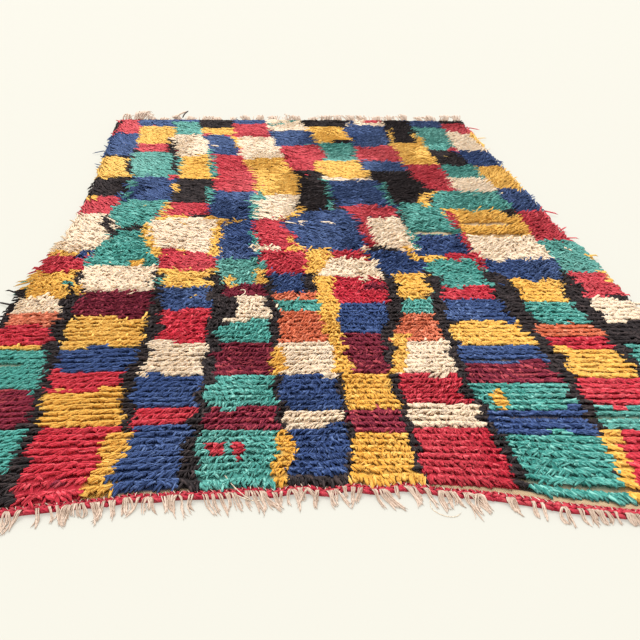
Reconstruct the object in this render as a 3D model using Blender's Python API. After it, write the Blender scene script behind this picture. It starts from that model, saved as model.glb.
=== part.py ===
"""Azilal rug: a hand-knotted wool shag rug that lies flat, with a red twined band along
its near hem and a fringe of warp ends at both ends.

Metres, +Z up. The rug lies on Z = 0, its length along Y and its near hem towards -Y, and the
middle of the whole part's box is at X = Y = 0. The dimensions below are on a plan with a zero
of its own: x from the rug's middle line, y from the top of the near hem's arch.
"""

import math
import random

import bmesh
import bpy
from mathutils import Matrix, Vector

# The cloth: a woven ground, and the pile that stands on it
PILE_TOP = 0.021
PILE_EDGE = 0.012
GROUND_THICK = 0.004
FAR_END = 2.225
NEAR_STRIP = 0.013
FAR_STRIP = 0.010
PILE_FRONT = 0.009
CELLS_ACROSS = 36
CELLS_ALONG = 68

# The cloth's side edges, without the tufts that hang over them: (y, left x, right x)
SIDE_EDGES = (
    (-0.10, -0.745, 0.758),
    (0.30, -0.740, 0.755),
    (0.62, -0.732, 0.748),
    (1.00, -0.704, 0.740),
    (1.40, -0.700, 0.744),
    (1.80, -0.722, 0.738),
    (2.25, -0.752, 0.750),
)

# The cloth's near hem, a shallow arch that is open towards the near end: (x, y)
NEAR_HEM = (
    (-0.760, -0.072),
    (-0.560, -0.042),
    (-0.300, -0.012),
    (0.000, -0.008),
    (0.200, -0.020),
    (0.330, -0.046),
    (0.450, -0.072),
    (0.770, -0.092),
)

# Rows where the pile has parted along an old fold: (y, x from, x to, depth)
PARTED_ROWS = (
    (1.085, 0.290, 0.640, 0.006),
    (0.985, 0.440, 0.640, 0.006),
    (0.165, 0.270, 0.700, 0.005),
    (0.355, 0.280, 0.420, 0.004),
)
PARTED_WIDTH = 0.030

# Soft lumps of the pile: (height, wave across, wave along, turn), and a random share
LUMP_WAVES = (
    (0.0022, 0.31, 0.23, 0.4),
    (0.0018, 0.17, 0.41, 1.9),
    (0.0015, 0.12, 0.13, 3.1),
)
LUMP_RANDOM = 0.0028

# Long tufts that hang over the side edges, one for each cell along
TUFT_LENGTHS = (0.012, 0.034)
TUFT_HALF_WIDTH = 0.011
TUFT_HEIGHT = 0.007
TUFT_BEND = 0.35

# The twined band: two red weft cords side by side, each thick where the other is thin
SEAM_GAP = 0.0004
BAND_WIDTH = 0.021
BAND_TWISTS = 72
BAND_EDGE = 0.0026
BAND_VALLEY = 0.0046
BAND_THIN = 0.0062
BAND_THICK = 0.0086

# The fringes: knotted groups of warp ends, fused at their roots into a narrow strip
STRIP_WIDTH = 0.004
STRIP_THICK = 0.0026
LOCK_ROOT_SHARE = 0.50
LOCK_HEIGHT = 0.0046
LOCK_LEAN = 0.20
LOCK_LEAN_WAVE = 0.37
LOCK_LEAN_RANDOM = 0.08
NEAR_LOCKS = 76
NEAR_LOCK_LENGTHS = (0.030, 0.056)
FAR_LOCKS = 60
FAR_LOCK_LENGTHS = (0.014, 0.040)

# A tip is this share of its lock's greatest width and height
TIP_SHARE = 0.35

SEED = 11
SHARP_ANGLE = math.radians(50)

# Materials: colour (linear RGB) and roughness
MATERIALS = {
    "pile": ((0.30, 0.09, 0.08), 0.95),
    "twined_band": ((0.47, 0.03, 0.05), 0.90),
    "fringe": ((0.62, 0.47, 0.34), 0.92),
}


def clear_scene():
    for thing in list(bpy.data.objects):
        bpy.data.objects.remove(thing, do_unlink=True)


def wool(name):
    colour, roughness = MATERIALS[name]
    material = bpy.data.materials.new(name)
    material.use_nodes = True
    shader = material.node_tree.nodes["Principled BSDF"]
    shader.inputs["Base Color"].default_value = (*colour, 1.0)
    shader.inputs["Roughness"].default_value = roughness
    shader.inputs["Metallic"].default_value = 0.0
    return material


def curve_through(table, at, column=1):
    """A smooth curve through a table's rows, in cubic pieces.

    The slope at a row is the slope between the rows on either side of it.
    """
    xs = [row[0] for row in table]
    ys = [row[column] for row in table]
    at = min(max(at, xs[0]), xs[-1])
    low = max(k for k in range(len(xs) - 1) if xs[k] <= at)

    def slope(k):
        before = max(k - 1, 0)
        after = min(k + 1, len(xs) - 1)
        return (ys[after] - ys[before]) / (xs[after] - xs[before])

    span = xs[low + 1] - xs[low]
    t = (at - xs[low]) / span
    straight = ys[low] * (1 + 2 * t) * (1 - t) ** 2 + ys[low + 1] * (3 - 2 * t) * t * t
    return straight + span * t * (1 - t) * (slope(low) * (1 - t) - slope(low + 1) * t)


def side_x(across, y):
    """The x at a share of the cloth's width, from its left edge to its right edge at that y."""
    left = curve_through(SIDE_EDGES, y, 1)
    right = curve_through(SIDE_EDGES, y, 2)
    return left + (right - left) * across


def hem_line(across):
    """A place on the near hem, and the way out of the cloth there, square to the hem."""
    x = side_x(across, SIDE_EDGES[0][0])
    step = 0.002
    rise = curve_through(NEAR_HEM, x + step) - curve_through(NEAR_HEM, x - step)
    outward = Vector((rise, -2 * step, 0.0)).normalized()
    return Vector((x, curve_through(NEAR_HEM, x), 0.0)), outward


def far_line(across):
    """A place on the cloth's far end, which is straight, and the way out of it."""
    return Vector((side_x(across, FAR_END), FAR_END, 0.0)), Vector((0.0, 1.0, 0.0))


def pile_height(x, y, chance):
    """The pile's top: soft waves, a random share, and a trough where the pile has parted."""
    height = PILE_TOP + chance.uniform(-LUMP_RANDOM, LUMP_RANDOM)
    for size, wave_across, wave_along, turn in LUMP_WAVES:
        across = math.sin(math.tau * x / wave_across + turn)
        height += size * across * math.cos(math.tau * y / wave_along)
    for row_y, x_from, x_to, depth in PARTED_ROWS:
        beside = max(x_from - x, x - x_to, 0.0) / PARTED_WIDTH
        over = (y - row_y) / PARTED_WIDTH
        height -= depth * math.exp(-(over * over + beside * beside))
    return height


def even_shares(start, stop, cells):
    return [start + (stop - start) * k / cells for k in range(cells + 1)]


def closed_slab(rows_across, rows_along, place):
    """A closed bmesh with a flat underside on the floor, and its walls by the side they are on.

    A grid is put in place by a function of each point's share across and along. Its rim is
    then extruded down to the floor and filled.
    """
    bm = bmesh.new()
    last_across = len(rows_across) - 1
    last_along = len(rows_along) - 1
    bmesh.ops.create_grid(bm, x_segments=last_across, y_segments=last_along, size=0.5)
    cell = {}
    for vert in bm.verts:
        cell[vert] = (
            round((vert.co.x + 0.5) * last_across),
            round((vert.co.y + 0.5) * last_along),
        )
    for vert, (i, j) in sorted(cell.items(), key=lambda item: item[1]):
        vert.co = place(rows_across[i], rows_along[j])
    rim = [edge for edge in bm.edges if edge.is_boundary]
    made = bmesh.ops.extrude_edge_only(bm, edges=rim)["geom"]
    for part in made:
        if isinstance(part, bmesh.types.BMVert):
            part.co.z = 0.0
    lowest = [edge for edge in bm.edges if edge.is_boundary]
    bmesh.ops.edgeloop_fill(bm, edges=lowest)
    bmesh.ops.recalc_face_normals(bm, faces=bm.faces)
    walls = {"near": {}, "far": {}, "left": {}, "right": {}}
    for part in made:
        if not isinstance(part, bmesh.types.BMFace):
            continue
        (i, j), (other_i, other_j) = sorted(cell[v] for v in part.verts if v in cell)
        if j == other_j:
            walls["near" if j == 0 else "far"][i] = part
        else:
            walls["left" if i == 0 else "right"][j] = part
    return bm, walls


def grow_lock(bm, wall, outward, bend, sections):
    """Draws one wall of a slab out into a lock that lies on the floor.

    Each section says how far out it is, its half width and its height. The lock bends
    sideways by a share of its reach.
    """
    along = Vector((-outward.y, outward.x, 0.0))
    root = wall.calc_center_median()
    root.z = 0.0
    middle = root
    for reach, half_width, height in sections:
        wall = bmesh.ops.extrude_discrete_faces(bm, faces=[wall])["faces"][0]
        previous = middle
        middle = root + (outward + along * bend) * reach
        for vert in wall.verts:
            side = 1 if (vert.co - previous).dot(along) > 0 else -1
            top = height if vert.co.z > 0 else 0.0
            vert.co = middle + along * side * half_width
            vert.co.z = top


def finish_object(bm, name, material):
    mesh = bpy.data.meshes.new(name)
    bm.to_mesh(mesh)
    bm.free()
    mesh.materials.append(material)
    mesh.shade_smooth()
    mesh.set_sharp_from_angle(angle=SHARP_ANGLE)
    thing = bpy.data.objects.new(name, mesh)
    bpy.context.scene.collection.objects.link(thing)
    return thing


def make_cloth():
    """The woven ground and its pile as one lumpy slab, with the tufts at its side edges."""
    chance = random.Random(SEED)
    near = [0.0, NEAR_STRIP / FAR_END]
    far = [1.0 - FAR_STRIP / FAR_END, 1.0]
    front = PILE_FRONT / FAR_END
    rows_along = near + even_shares(near[1] + front, far[0] - front, CELLS_ALONG) + far
    side = PILE_FRONT / (SIDE_EDGES[0][2] - SIDE_EDGES[0][1])
    rows_across = [0.0, *even_shares(side, 1.0 - side, CELLS_ACROSS), 1.0]

    def place(across, along):
        start, _ = hem_line(across)
        y = start.y + (FAR_END - start.y) * along
        x = side_x(across, y)
        if along in near or along in far:
            return Vector((x, y, GROUND_THICK))
        if across in (0.0, 1.0):
            return Vector((x, y, PILE_EDGE))
        return Vector((x, y, pile_height(x, y, chance)))

    bm, walls = closed_slab(rows_across, rows_along, place)
    for name, outward in (("left", Vector((-1, 0, 0))), ("right", Vector((1, 0, 0)))):
        for row in range(len(near), len(rows_along) - len(far) - 1):
            reach = chance.uniform(*TUFT_LENGTHS)
            bend = chance.uniform(-TUFT_BEND, TUFT_BEND)
            sections = (
                (0.45 * reach, TUFT_HALF_WIDTH, TUFT_HEIGHT),
                (reach, TUFT_HALF_WIDTH * TIP_SHARE, TUFT_HEIGHT * TIP_SHARE),
            )
            grow_lock(bm, walls[name][row], outward, bend, sections)
    return finish_object(bm, "pile_rug", wool("pile"))


def make_band():
    """The twined band: a strip along the near hem, raised into two ropes of short twists."""
    stations = 2 * BAND_TWISTS
    profile = {
        0.00: (BAND_EDGE, BAND_EDGE),
        0.27: (BAND_THIN, BAND_THICK),
        0.50: (BAND_VALLEY, BAND_VALLEY),
        0.76: (BAND_THICK, BAND_THIN),
        1.00: (BAND_EDGE, BAND_EDGE),
    }

    def place(across, out):
        start, outward = hem_line(across)
        height = profile[out][round(across * stations) % 2]
        return start + outward * (SEAM_GAP + BAND_WIDTH * out) + Vector((0.0, 0.0, height))

    bm, _ = closed_slab(even_shares(0.0, 1.0, stations), list(profile), place)
    return finish_object(bm, "twined_band", wool("twined_band"))


def make_fringe(name, locks, lengths, line, start_out, seed):
    """A narrow strip along one end, with a lock of warp ends at each even step.

    line gives a place on the cloth's end and the way out of it. start_out is how far out
    the strip begins.
    """
    chance = random.Random(seed)
    rows_across = [0.0]
    for lock in range(locks):
        rows_across.append((lock + 0.5 - LOCK_ROOT_SHARE / 2) / locks)
        rows_across.append((lock + 0.5 + LOCK_ROOT_SHARE / 2) / locks)
    rows_across.append(1.0)

    def place(across, out):
        start, outward = line(across)
        return start + outward * (start_out + STRIP_WIDTH * out) + Vector((0, 0, STRIP_THICK))

    bm, walls = closed_slab(rows_across, [0.0, 1.0], place)
    root_half = (line(1.0)[0] - line(0.0)[0]).length * LOCK_ROOT_SHARE / (2 * locks)
    for lock in range(locks):
        start, outward = line((lock + 0.5) / locks)
        reach = chance.uniform(*lengths)
        bend = LOCK_LEAN * math.sin(math.tau * start.x / LOCK_LEAN_WAVE)
        bend += chance.uniform(-LOCK_LEAN_RANDOM, LOCK_LEAN_RANDOM)
        sections = (
            (0.40 * reach, root_half, LOCK_HEIGHT),
            (0.78 * reach, 0.80 * root_half, 0.8 * LOCK_HEIGHT),
            (reach, TIP_SHARE * root_half, TIP_SHARE * LOCK_HEIGHT),
        )
        grow_lock(bm, walls["far"][2 * lock + 1], outward, bend, sections)
    return finish_object(bm, name, wool("fringe"))


def centre_on_box(things):
    """Moves every mesh alike, so that the middle of the part's box is at X = Y = 0."""
    places = [vert.co for thing in things for vert in thing.data.vertices]
    middle_x = (min(p.x for p in places) + max(p.x for p in places)) / 2
    middle_y = (min(p.y for p in places) + max(p.y for p in places)) / 2
    for thing in things:
        thing.data.transform(Matrix.Translation((-middle_x, -middle_y, 0.0)))
    print(f"the plan's zero is at x {-middle_x:.5f}, y {-middle_y:.5f}")


def main():
    clear_scene()
    beyond_band = SEAM_GAP + BAND_WIDTH + SEAM_GAP
    things = [
        make_cloth(),
        make_band(),
        make_fringe("near_fringe", NEAR_LOCKS, NEAR_LOCK_LENGTHS, hem_line, beyond_band, SEED + 1),
        make_fringe("far_fringe", FAR_LOCKS, FAR_LOCK_LENGTHS, far_line, SEAM_GAP, SEED + 2),
    ]
    centre_on_box(things)


main()
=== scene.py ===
# %% [markdown]
# # A knotted wool shag rug
#
# This rug is woven on a loom. Between rows of plain weave the weaver ties short lengths of
# wool round the warps, and their ends stand up as a long pile. A change of wool from knot to
# knot makes the patchwork of blocks. The near end is closed with two twined red cords, and
# the warps that are left over make a fringe.
#
# The script follows the loom: first the frame and the camera, then the cloth's outline, the
# weaver's chart, the woven ground, the pile, and last the band and the two fringes.

# %% Load the frame
import math
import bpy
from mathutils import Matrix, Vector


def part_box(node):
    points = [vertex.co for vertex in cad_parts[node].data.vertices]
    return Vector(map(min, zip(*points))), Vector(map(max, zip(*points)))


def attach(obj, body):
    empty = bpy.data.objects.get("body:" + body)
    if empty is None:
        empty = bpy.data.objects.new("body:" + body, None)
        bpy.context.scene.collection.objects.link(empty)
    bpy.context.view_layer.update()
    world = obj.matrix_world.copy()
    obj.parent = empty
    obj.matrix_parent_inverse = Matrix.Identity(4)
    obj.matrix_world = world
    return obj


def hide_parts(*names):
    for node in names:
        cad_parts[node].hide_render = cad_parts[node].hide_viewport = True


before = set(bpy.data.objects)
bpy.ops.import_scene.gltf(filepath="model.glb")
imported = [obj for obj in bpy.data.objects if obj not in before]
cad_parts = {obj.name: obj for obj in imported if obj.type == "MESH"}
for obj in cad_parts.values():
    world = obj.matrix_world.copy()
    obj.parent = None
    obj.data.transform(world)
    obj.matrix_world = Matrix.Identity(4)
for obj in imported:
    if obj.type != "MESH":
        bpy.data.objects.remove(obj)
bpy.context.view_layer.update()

from types import SimpleNamespace

import bpy
import numpy as np
from mathutils import Matrix, Vector

# %% [markdown]
# ## One plan for everything
#
# All places on the rug are given on a plan, as a weaver would measure it on the floor: x from
# the rug's middle line, y from the top of the arch in the near hem. The frame has its zero
# elsewhere, so the plan's zero is found from the red band, whose left end and highest point
# are known on the plan. Every mesh is made on the plan and then moved there once.

# %% The plan's zero in the frame
BAND_LEFT_X = -0.745
BAND_TOP_Y = -0.0084

band_low, band_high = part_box("twined_band")
ZERO = np.array([band_low.x - BAND_LEFT_X, band_high.y - BAND_TOP_Y, 0.0])
print("plan zero in the frame", ZERO.round(4))

# %% [markdown]
# ## Camera, floor and light
#
# The photograph looks down at the rug from a standing person's height, close to the near hem,
# so the two long edges run together towards the far end. The camera stands a little left of
# the middle line and is turned slightly right. The light is a very wide one from above and
# behind the rug, the same everywhere, because the wool's own small shadows are all that the
# picture shows. The floor has a glow of its own, like a lit studio sweep, so the rug throws
# hardly any shadow on it.

# %% Camera
CAMERA_PLACE = Vector((-0.164, -0.858, 0.855))
CAMERA_HEADING = math.radians(2.83)
CAMERA_PITCH = math.radians(31.29)
CAMERA_ROLL = math.radians(1.0)
LENS = 39.375
SENSOR = 36.0
SHIFT_X = 0.0547


def new_object(name, data):
    """An object with its data, linked to the scene."""
    thing = bpy.data.objects.new(name, data)
    bpy.context.scene.collection.objects.link(thing)
    return thing


def make_camera():
    """A camera whose turn is heading about Z, then pitch about its side, then roll about its own axis."""
    data = bpy.data.cameras.new("camera")
    data.lens = LENS
    data.sensor_width = SENSOR
    data.shift_x = SHIFT_X
    camera = new_object("camera", data)
    heading = Matrix.Rotation(-CAMERA_HEADING, 4, "Z")
    pitch = Matrix.Rotation(math.pi / 2 - CAMERA_PITCH, 4, "X")
    roll = Matrix.Rotation(CAMERA_ROLL, 4, "Z")
    place = Matrix.Translation(CAMERA_PLACE + Vector(ZERO))
    camera.matrix_world = place @ heading @ pitch @ roll
    bpy.context.scene.camera = camera
    return camera


camera = make_camera()
print("camera stands at", [round(c, 3) for c in camera.location])

# %% Floor and light
FLOOR_SIDE = 16.0
FLOOR_FINISH = {
    "Base Color": (0.228, 0.2235, 0.200, 1.0),
    "Roughness": 0.9,
    "Specular IOR Level": 0.1,
    "Emission Color": (0.478, 0.465, 0.412, 1.0),
    "Emission Strength": 1.0,
}
WORLD_COLOUR = (1.0, 0.995, 0.98, 1.0)
WORLD_STRENGTH = 1.25
LIGHT_FROM = Vector((-0.40, 0.45, 1.35))
LIGHT_SPREAD = math.radians(40)
LIGHT_STRENGTH = 2.9


def new_look(name, finish):
    """A new material and its shader, whose constant sockets are set from a table."""
    material = bpy.data.materials.new(name)
    material.use_nodes = True
    shader = material.node_tree.nodes["Principled BSDF"]
    for socket, value in finish.items():
        shader.inputs[socket].default_value = value
    return material, shader


def make_floor():
    half = FLOOR_SIDE / 2
    mesh = bpy.data.meshes.new("floor")
    corners = [(-half, -half, 0), (half, -half, 0), (half, half, 0), (-half, half, 0)]
    mesh.from_pydata(corners, [], [(0, 1, 2, 3)])
    mesh.materials.append(new_look("floor", FLOOR_FINISH)[0])
    return new_object("floor", mesh)


def make_light():
    world = bpy.data.worlds.new("studio")
    world.use_nodes = True
    background = world.node_tree.nodes["Background"]
    background.inputs["Color"].default_value = WORLD_COLOUR
    background.inputs["Strength"].default_value = WORLD_STRENGTH
    bpy.context.scene.world = world
    data = bpy.data.lights.new("soft_box", "SUN")
    data.angle = LIGHT_SPREAD
    data.energy = LIGHT_STRENGTH
    light = new_object("soft_box", data)
    light.location = LIGHT_FROM
    light.rotation_euler = (-LIGHT_FROM).to_track_quat("-Z", "Y").to_euler()


make_floor()
make_light()
bpy.context.scene.view_settings.view_transform = "Standard"
print("floor and light are in place")

# %% [markdown]
# ## The outline of the cloth
#
# A rug from a narrow loom is never straight: its edges draw in and spread, and this hem has
# stretched into a shallow arch. The outline is three smooth curves through a few measured
# points. A place on the cloth is then two numbers: its x, and its distance up the warps from
# the hem. Near the hem the rows follow the arch, and that fades out further up.

# %% Outline curves
FAR_END = 2.225
# The hem's arch fades up the rug in two parts, a share and a distance each: most of it within a few rows
HEM_FADES = ((0.70, 0.06), (0.30, 0.35))
SIDE_Y = (-0.10, 0.30, 0.62, 1.00, 1.40, 1.80, 2.25)
LEFT_X = (-0.745, -0.740, -0.732, -0.706, -0.708, -0.732, -0.754)
RIGHT_X = (0.758, 0.755, 0.752, 0.752, 0.756, 0.750, 0.756)
HEM_X = (-0.760, -0.560, -0.300, 0.000, 0.200, 0.330, 0.450, 0.770)
HEM_Y = (-0.072, -0.042, -0.012, -0.008, -0.020, -0.046, -0.072, -0.092)
# Small waves of the hem on top of its arch, which fade within a few rows
WAVE_X = (-0.76, -0.55, -0.45, -0.40, -0.37, -0.33, -0.30, -0.24, -0.21, -0.173, -0.138, -0.107, -0.080,
          -0.054, -0.035, -0.014, 0.007, 0.037, 0.058, 0.080, 0.120, 0.144, 0.185, 0.265, 0.304, 0.342,
          0.381, 0.46, 0.77)
WAVE_Y = (0.006, 0.006, 0.005, 0.0046, 0.0075, 0.003, 0.005, 0.003, 0.0037, 0.0075, 0.0017, 0.0084, 0.010,
          0.0032, 0.005, 0.0135, 0.0105, 0.006, 0.0104, 0.0145, 0.0106, 0.0053, 0.0036, 0.0014, 0.0, -0.0026,
          0.0006, 0.0037, 0.004)
WAVE_FADE = 0.07
# The strip between the hem and the first row: its least width, and how much is added at which x
HEM_STRIP = 0.002
STRIP_X = (-0.76, -0.50, -0.42, -0.36, -0.33, -0.29, -0.26, -0.05, 0.00, 0.09, 0.13, 0.30, 0.77)
STRIP_ADDED = (0.002, 0.000, 0.001, 0.005, 0.008, 0.006, 0.000, 0.000, 0.004, 0.000, 0.003, 0.0055, 0.0085)
STRIP_FADE = 0.08
SMALL_STEP = 0.001


def curve_through(xs, ys, at):
    """A smooth curve through points, in cubic pieces, for a whole array at once.

    The slope at a point is that of the line between its two neighbours.
    """
    xs, ys = np.array(xs), np.array(ys)
    at = np.clip(at, xs[0], xs[-1])
    low = np.clip(np.searchsorted(xs, at, side="right") - 1, 0, len(xs) - 2)
    before = np.r_[0, np.arange(len(xs) - 1)]
    after = np.r_[np.arange(1, len(xs)), len(xs) - 1]
    slope = (ys[after] - ys[before]) / (xs[after] - xs[before])
    span = xs[low + 1] - xs[low]
    t = (at - xs[low]) / span
    straight = ys[low] * (1 + 2 * t) * (1 - t) ** 2 + ys[low + 1] * (3 - 2 * t) * t * t
    return straight + span * t * (1 - t) * (slope[low] * (1 - t) - slope[low + 1] * t)


def left_edge(y):
    return curve_through(SIDE_Y, LEFT_X, y)


def right_edge(y):
    return curve_through(SIDE_Y, RIGHT_X, y)


def across_cloth(share, y):
    """The x at a share of the cloth's width, counted from its left edge."""
    return left_edge(y) + (right_edge(y) - left_edge(y)) * share


def from_edge(x, y):
    """How far a place lies inside the nearer of the two long edges."""
    return np.minimum(x - left_edge(y), right_edge(y) - x)


def warp_y(x, up):
    """The plan's y at a distance up the warps: up, with the hem's sag, waves and strip, which all fade."""
    sag = curve_through(HEM_X, HEM_Y, x) * sum(share * np.exp(-up / size) for share, size in HEM_FADES)
    wave = curve_through(WAVE_X, WAVE_Y, x) * np.exp(-up / WAVE_FADE)
    strip = np.interp(x, STRIP_X, STRIP_ADDED) * np.clip(up / HEM_STRIP, 0, 1) * np.exp(-up / STRIP_FADE)
    return up + sag + wave + strip


def hem_point(x, below):
    """The plan's y at a distance below the hem line."""
    return warp_y(x, 0.0) - below


def stretch(x, up):
    """How far apart the rows lie on the plan, where 1 is their pitch: the slope of warp_y."""
    return (warp_y(x, up + SMALL_STEP) - warp_y(x, up - SMALL_STEP)) / (2 * SMALL_STEP)


print("cloth is", round(float(right_edge(1.0) - left_edge(1.0)), 3), "m wide at the middle")

# %% [markdown]
# ## Soft noise
#
# Handwork wanders: block edges, pile direction and wool colour all drift a little over
# several centimetres. One helper makes that drift as a sum of a few sine waves in random
# directions, which is smooth everywhere and is the same on every run. Each use of it is a
# named row of three numbers: how much, how long its waves are, and a seed of its own.

# %% Soft noise
DRIFT_WAVES = 9
DRIFT_LENGTHS = (0.6, 1.7)


def drift(x, y, amount, size, seed):
    """Smooth noise from about minus the amount to the amount: a sum of sine waves, each turned at random."""
    chance = np.random.default_rng(seed)
    total = np.zeros(np.shape(x))
    for _ in range(DRIFT_WAVES):
        angle = chance.uniform(0, 2 * np.pi)
        length = size * chance.uniform(*DRIFT_LENGTHS)
        turn = chance.uniform(0, 2 * np.pi)
        along = np.cos(angle) * x + np.sin(angle) * y
        total = total + np.sin(2 * np.pi * along / length + turn)
    return amount * (total / np.sqrt(DRIFT_WAVES))


def fade(value, start, stop):
    """0 before start, 1 past stop, and a smooth step between them."""
    t = np.clip((value - start) / (stop - start), 0, 1)
    return t * t * (3 - 2 * t)


def mix(first, second, share):
    """first where the share is 0, second where it is 1, and in proportion between them."""
    return first + (second - first) * share


print("drift at the middle", round(float(drift(0.0, 1.0, 1.0, 0.1, 1)), 3))

# %% [markdown]
# ## The weaver's chart
#
# The design is the old patchwork check of the High Atlas: columns of blocks in any colour
# that is at hand, parted by black in the lower half. It is charted as a weaver would
# note it: where each line between two columns wanders, and then each column's
# blocks from the hem upwards, each with the height of its top, all in centimetres. A few small
# accents, such as a yellow strip or two red flecks, are laid over the blocks.

# %% Wool colours
WOOLS = ("black", "red", "blue", "green", "ochre", "cream", "maroon", "coral")
BLACK, RED, BLUE, GREEN, OCHRE, CREAM, MAROON, CORAL = range(len(WOOLS))
print(len(WOOLS), "wools")

# %% Lines between the columns: heights on the plan and x there, both in centimetres
COLUMN_LINES = {
    "a_b": ((0, 20, 45, 70, 90, 105, 118, 140, 150, 165, 200, 222),
            (-57, -58, -60, -61, -60, -56, -60, -59, -58, -61, -62, -65)),
    "b_c": ((0, 5, 8, 15, 22, 30, 50, 70, 90, 108, 125, 140, 165, 180, 200, 222),
            (-43, -43, -42, -40.9, -40.4, -41.7, -39.5, -41, -42.5, -48, -43, -42, -42, -47, -48, -50.5)),
    "c_d": ((0, 10, 20, 30, 60, 80, 100, 110, 118, 127, 150, 185, 200, 222),
            (-28, -28.2, -26.8, -26.3, -25.5, -27, -28, -25, -31, -30, -29.5, -34, -37, -40)),
    "d_e": ((0, 30, 50, 80, 110, 130, 150, 165, 180, 190, 222),
            (-11, -12, -12, -14, -17, -15.5, -16.5, -20, -21.5, -23, -25)),
    "e_f": ((0, 60, 80, 90, 110, 120, 135, 150, 180, 205, 222),
            (0, 1, 0, -2, -8, -4, -2, -2, -7, -10, -10)),
    "f_g": ((0, 15, 30, 45, 53, 60, 70, 80, 90, 105, 115, 125, 150, 163, 172, 185, 210, 222),
            (11.5, 12, 12, 13, 15.5, 17, 18.5, 16, 14, 16, 14, 10, 8, 5, 11, 8, 6, 3)),
    "g_h": ((0, 10, 30, 60, 70, 80, 100, 130, 150, 170, 205, 222),
            (29, 27.3, 26, 27.3, 29.3, 29.2, 29, 28, 24, 22, 22, 24)),
    "h_i": ((0, 15, 25, 40, 60, 100, 125, 138, 150, 190, 222),
            (47, 47.9, 47, 47.3, 45.5, 44, 42, 43, 39, 37, 39)),
    "i_j": ((0, 222), (51, 51)),
    "j_k": ((0, 60, 80, 120, 160, 178, 205, 222),
            (65, 63, 65, 65, 64, 61, 64, 64)),
}
CENTIMETRE = 0.01
MILLIMETRE = 0.001
print(len(COLUMN_LINES), "lines between columns")

# %% Blocks of each column, from the hem upwards: wool and the height of its top in centimetres
# The last columns but one, i and j, begin as one wide column
WIDE_BLOCKS = (
    "red 13.5 green 20.5 red 29.3 ochre 40.3 red 45.4 coral 51.1 green 61.3 ochre 72.4 blue 84.5"
    " cream 100 ochre 120 green 136"
)
COLUMNS = {
    "a": "black 6.6 green 15.5 maroon 27 green 41.5 ochre 43.5 red 51.7 coral 57.5 cream 65 ochre 79 red 89"
         " ochre 91 cream 117 red 131 black 149 ochre 171 blue 201 red 230",
    "b": "red 16.4 ochre 27 red 33.7 blue 42.7 ochre 55 maroon 68 cream 82 green 106 black 108"
         " green 128 blue 150 green 177 red 187 ochre 211 blue 230",
    "c": "blue 15.3 red 21.2 blue 31.8 cream 44.4 red 59 blue 70 ochre 79 red 90.5 ochre 91 cream 113"
         " ochre 115 red 126 black 148 ochre 172 cream 198 green 217 blue 230",
    "d": "green 14 maroon 20.7 green 31.2 maroon 43 green 53 cream 64 maroon 71 green 85 blue 136"
         " red 173 blue 198 red 199.7 ochre 208.5 black 230",
    "e": "black 2 blue 14.7 cream 19.8 blue 31 cream 44 coral 57.5 green 62.8 coral 67 blue 77"
         " red 113 cream 132 ochre 169 cream 196 red 215 blue 230",
    "f": "ochre 12.6 maroon 20.2 ochre 31 maroon 47 blue 61 red 74 cream 85 ochre 90 blue 119"
         " black 156 red 185 blue 205 cream 230",
    "g": "red 14.5 cream 20.6 red 30.8 cream 44 coral 56 green 63 ochre 76 blue 90 cream 115 red 123"
         " blue 146 cream 148.5 ochre 166 green 188 ochre 211 black 230",
    "h": "green 13.2 blue 20.1 green 28.3 maroon 35.5 blue 42 ochre 51.7 blue 62.4 red 69 green 84"
         " ochre 87 blue 102 green 125 black 156 blue 166 red 184.5 blue 213 cream 230",
    "i": WIDE_BLOCKS + " red 163 ochre 188 black 222 blue 230",
    "j": WIDE_BLOCKS + " cream 149 green 162 black 180 green 211 blue 230",
    "k": "black 4.4 ochre 11.7 maroon 22.2 green 42.2 black 51 cream 63 red 76 green 97 red 120"
         " blue 139 ochre 161 blue 180 cream 203 red 217 black 230",
}
print(len(COLUMNS), "columns,", sum(len(c.split()) // 2 for c in COLUMNS.values()), "blocks")

# %% Black between the columns in the lower half: width at the hem, at 30 cm and at 60 cm, in mm
BLACK_LINES = {
    "a_b": (30, 20, 37), "b_c": (4, 30, 30), "c_d": (34, 20, 36), "d_e": (12, 15, 25),
    "e_f": (15, 10, 0), "f_g": (8, 20, 36), "g_h": (19, 22, 34), "h_i": (20, 35, 48),
    "j_k": (30, 24, 48),
}
BLACK_HEIGHTS = (0.0, 0.30, 0.60)
BLACK_FADES = (0.72, 0.80)
print(len(BLACK_LINES), "lines of black")

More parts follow.
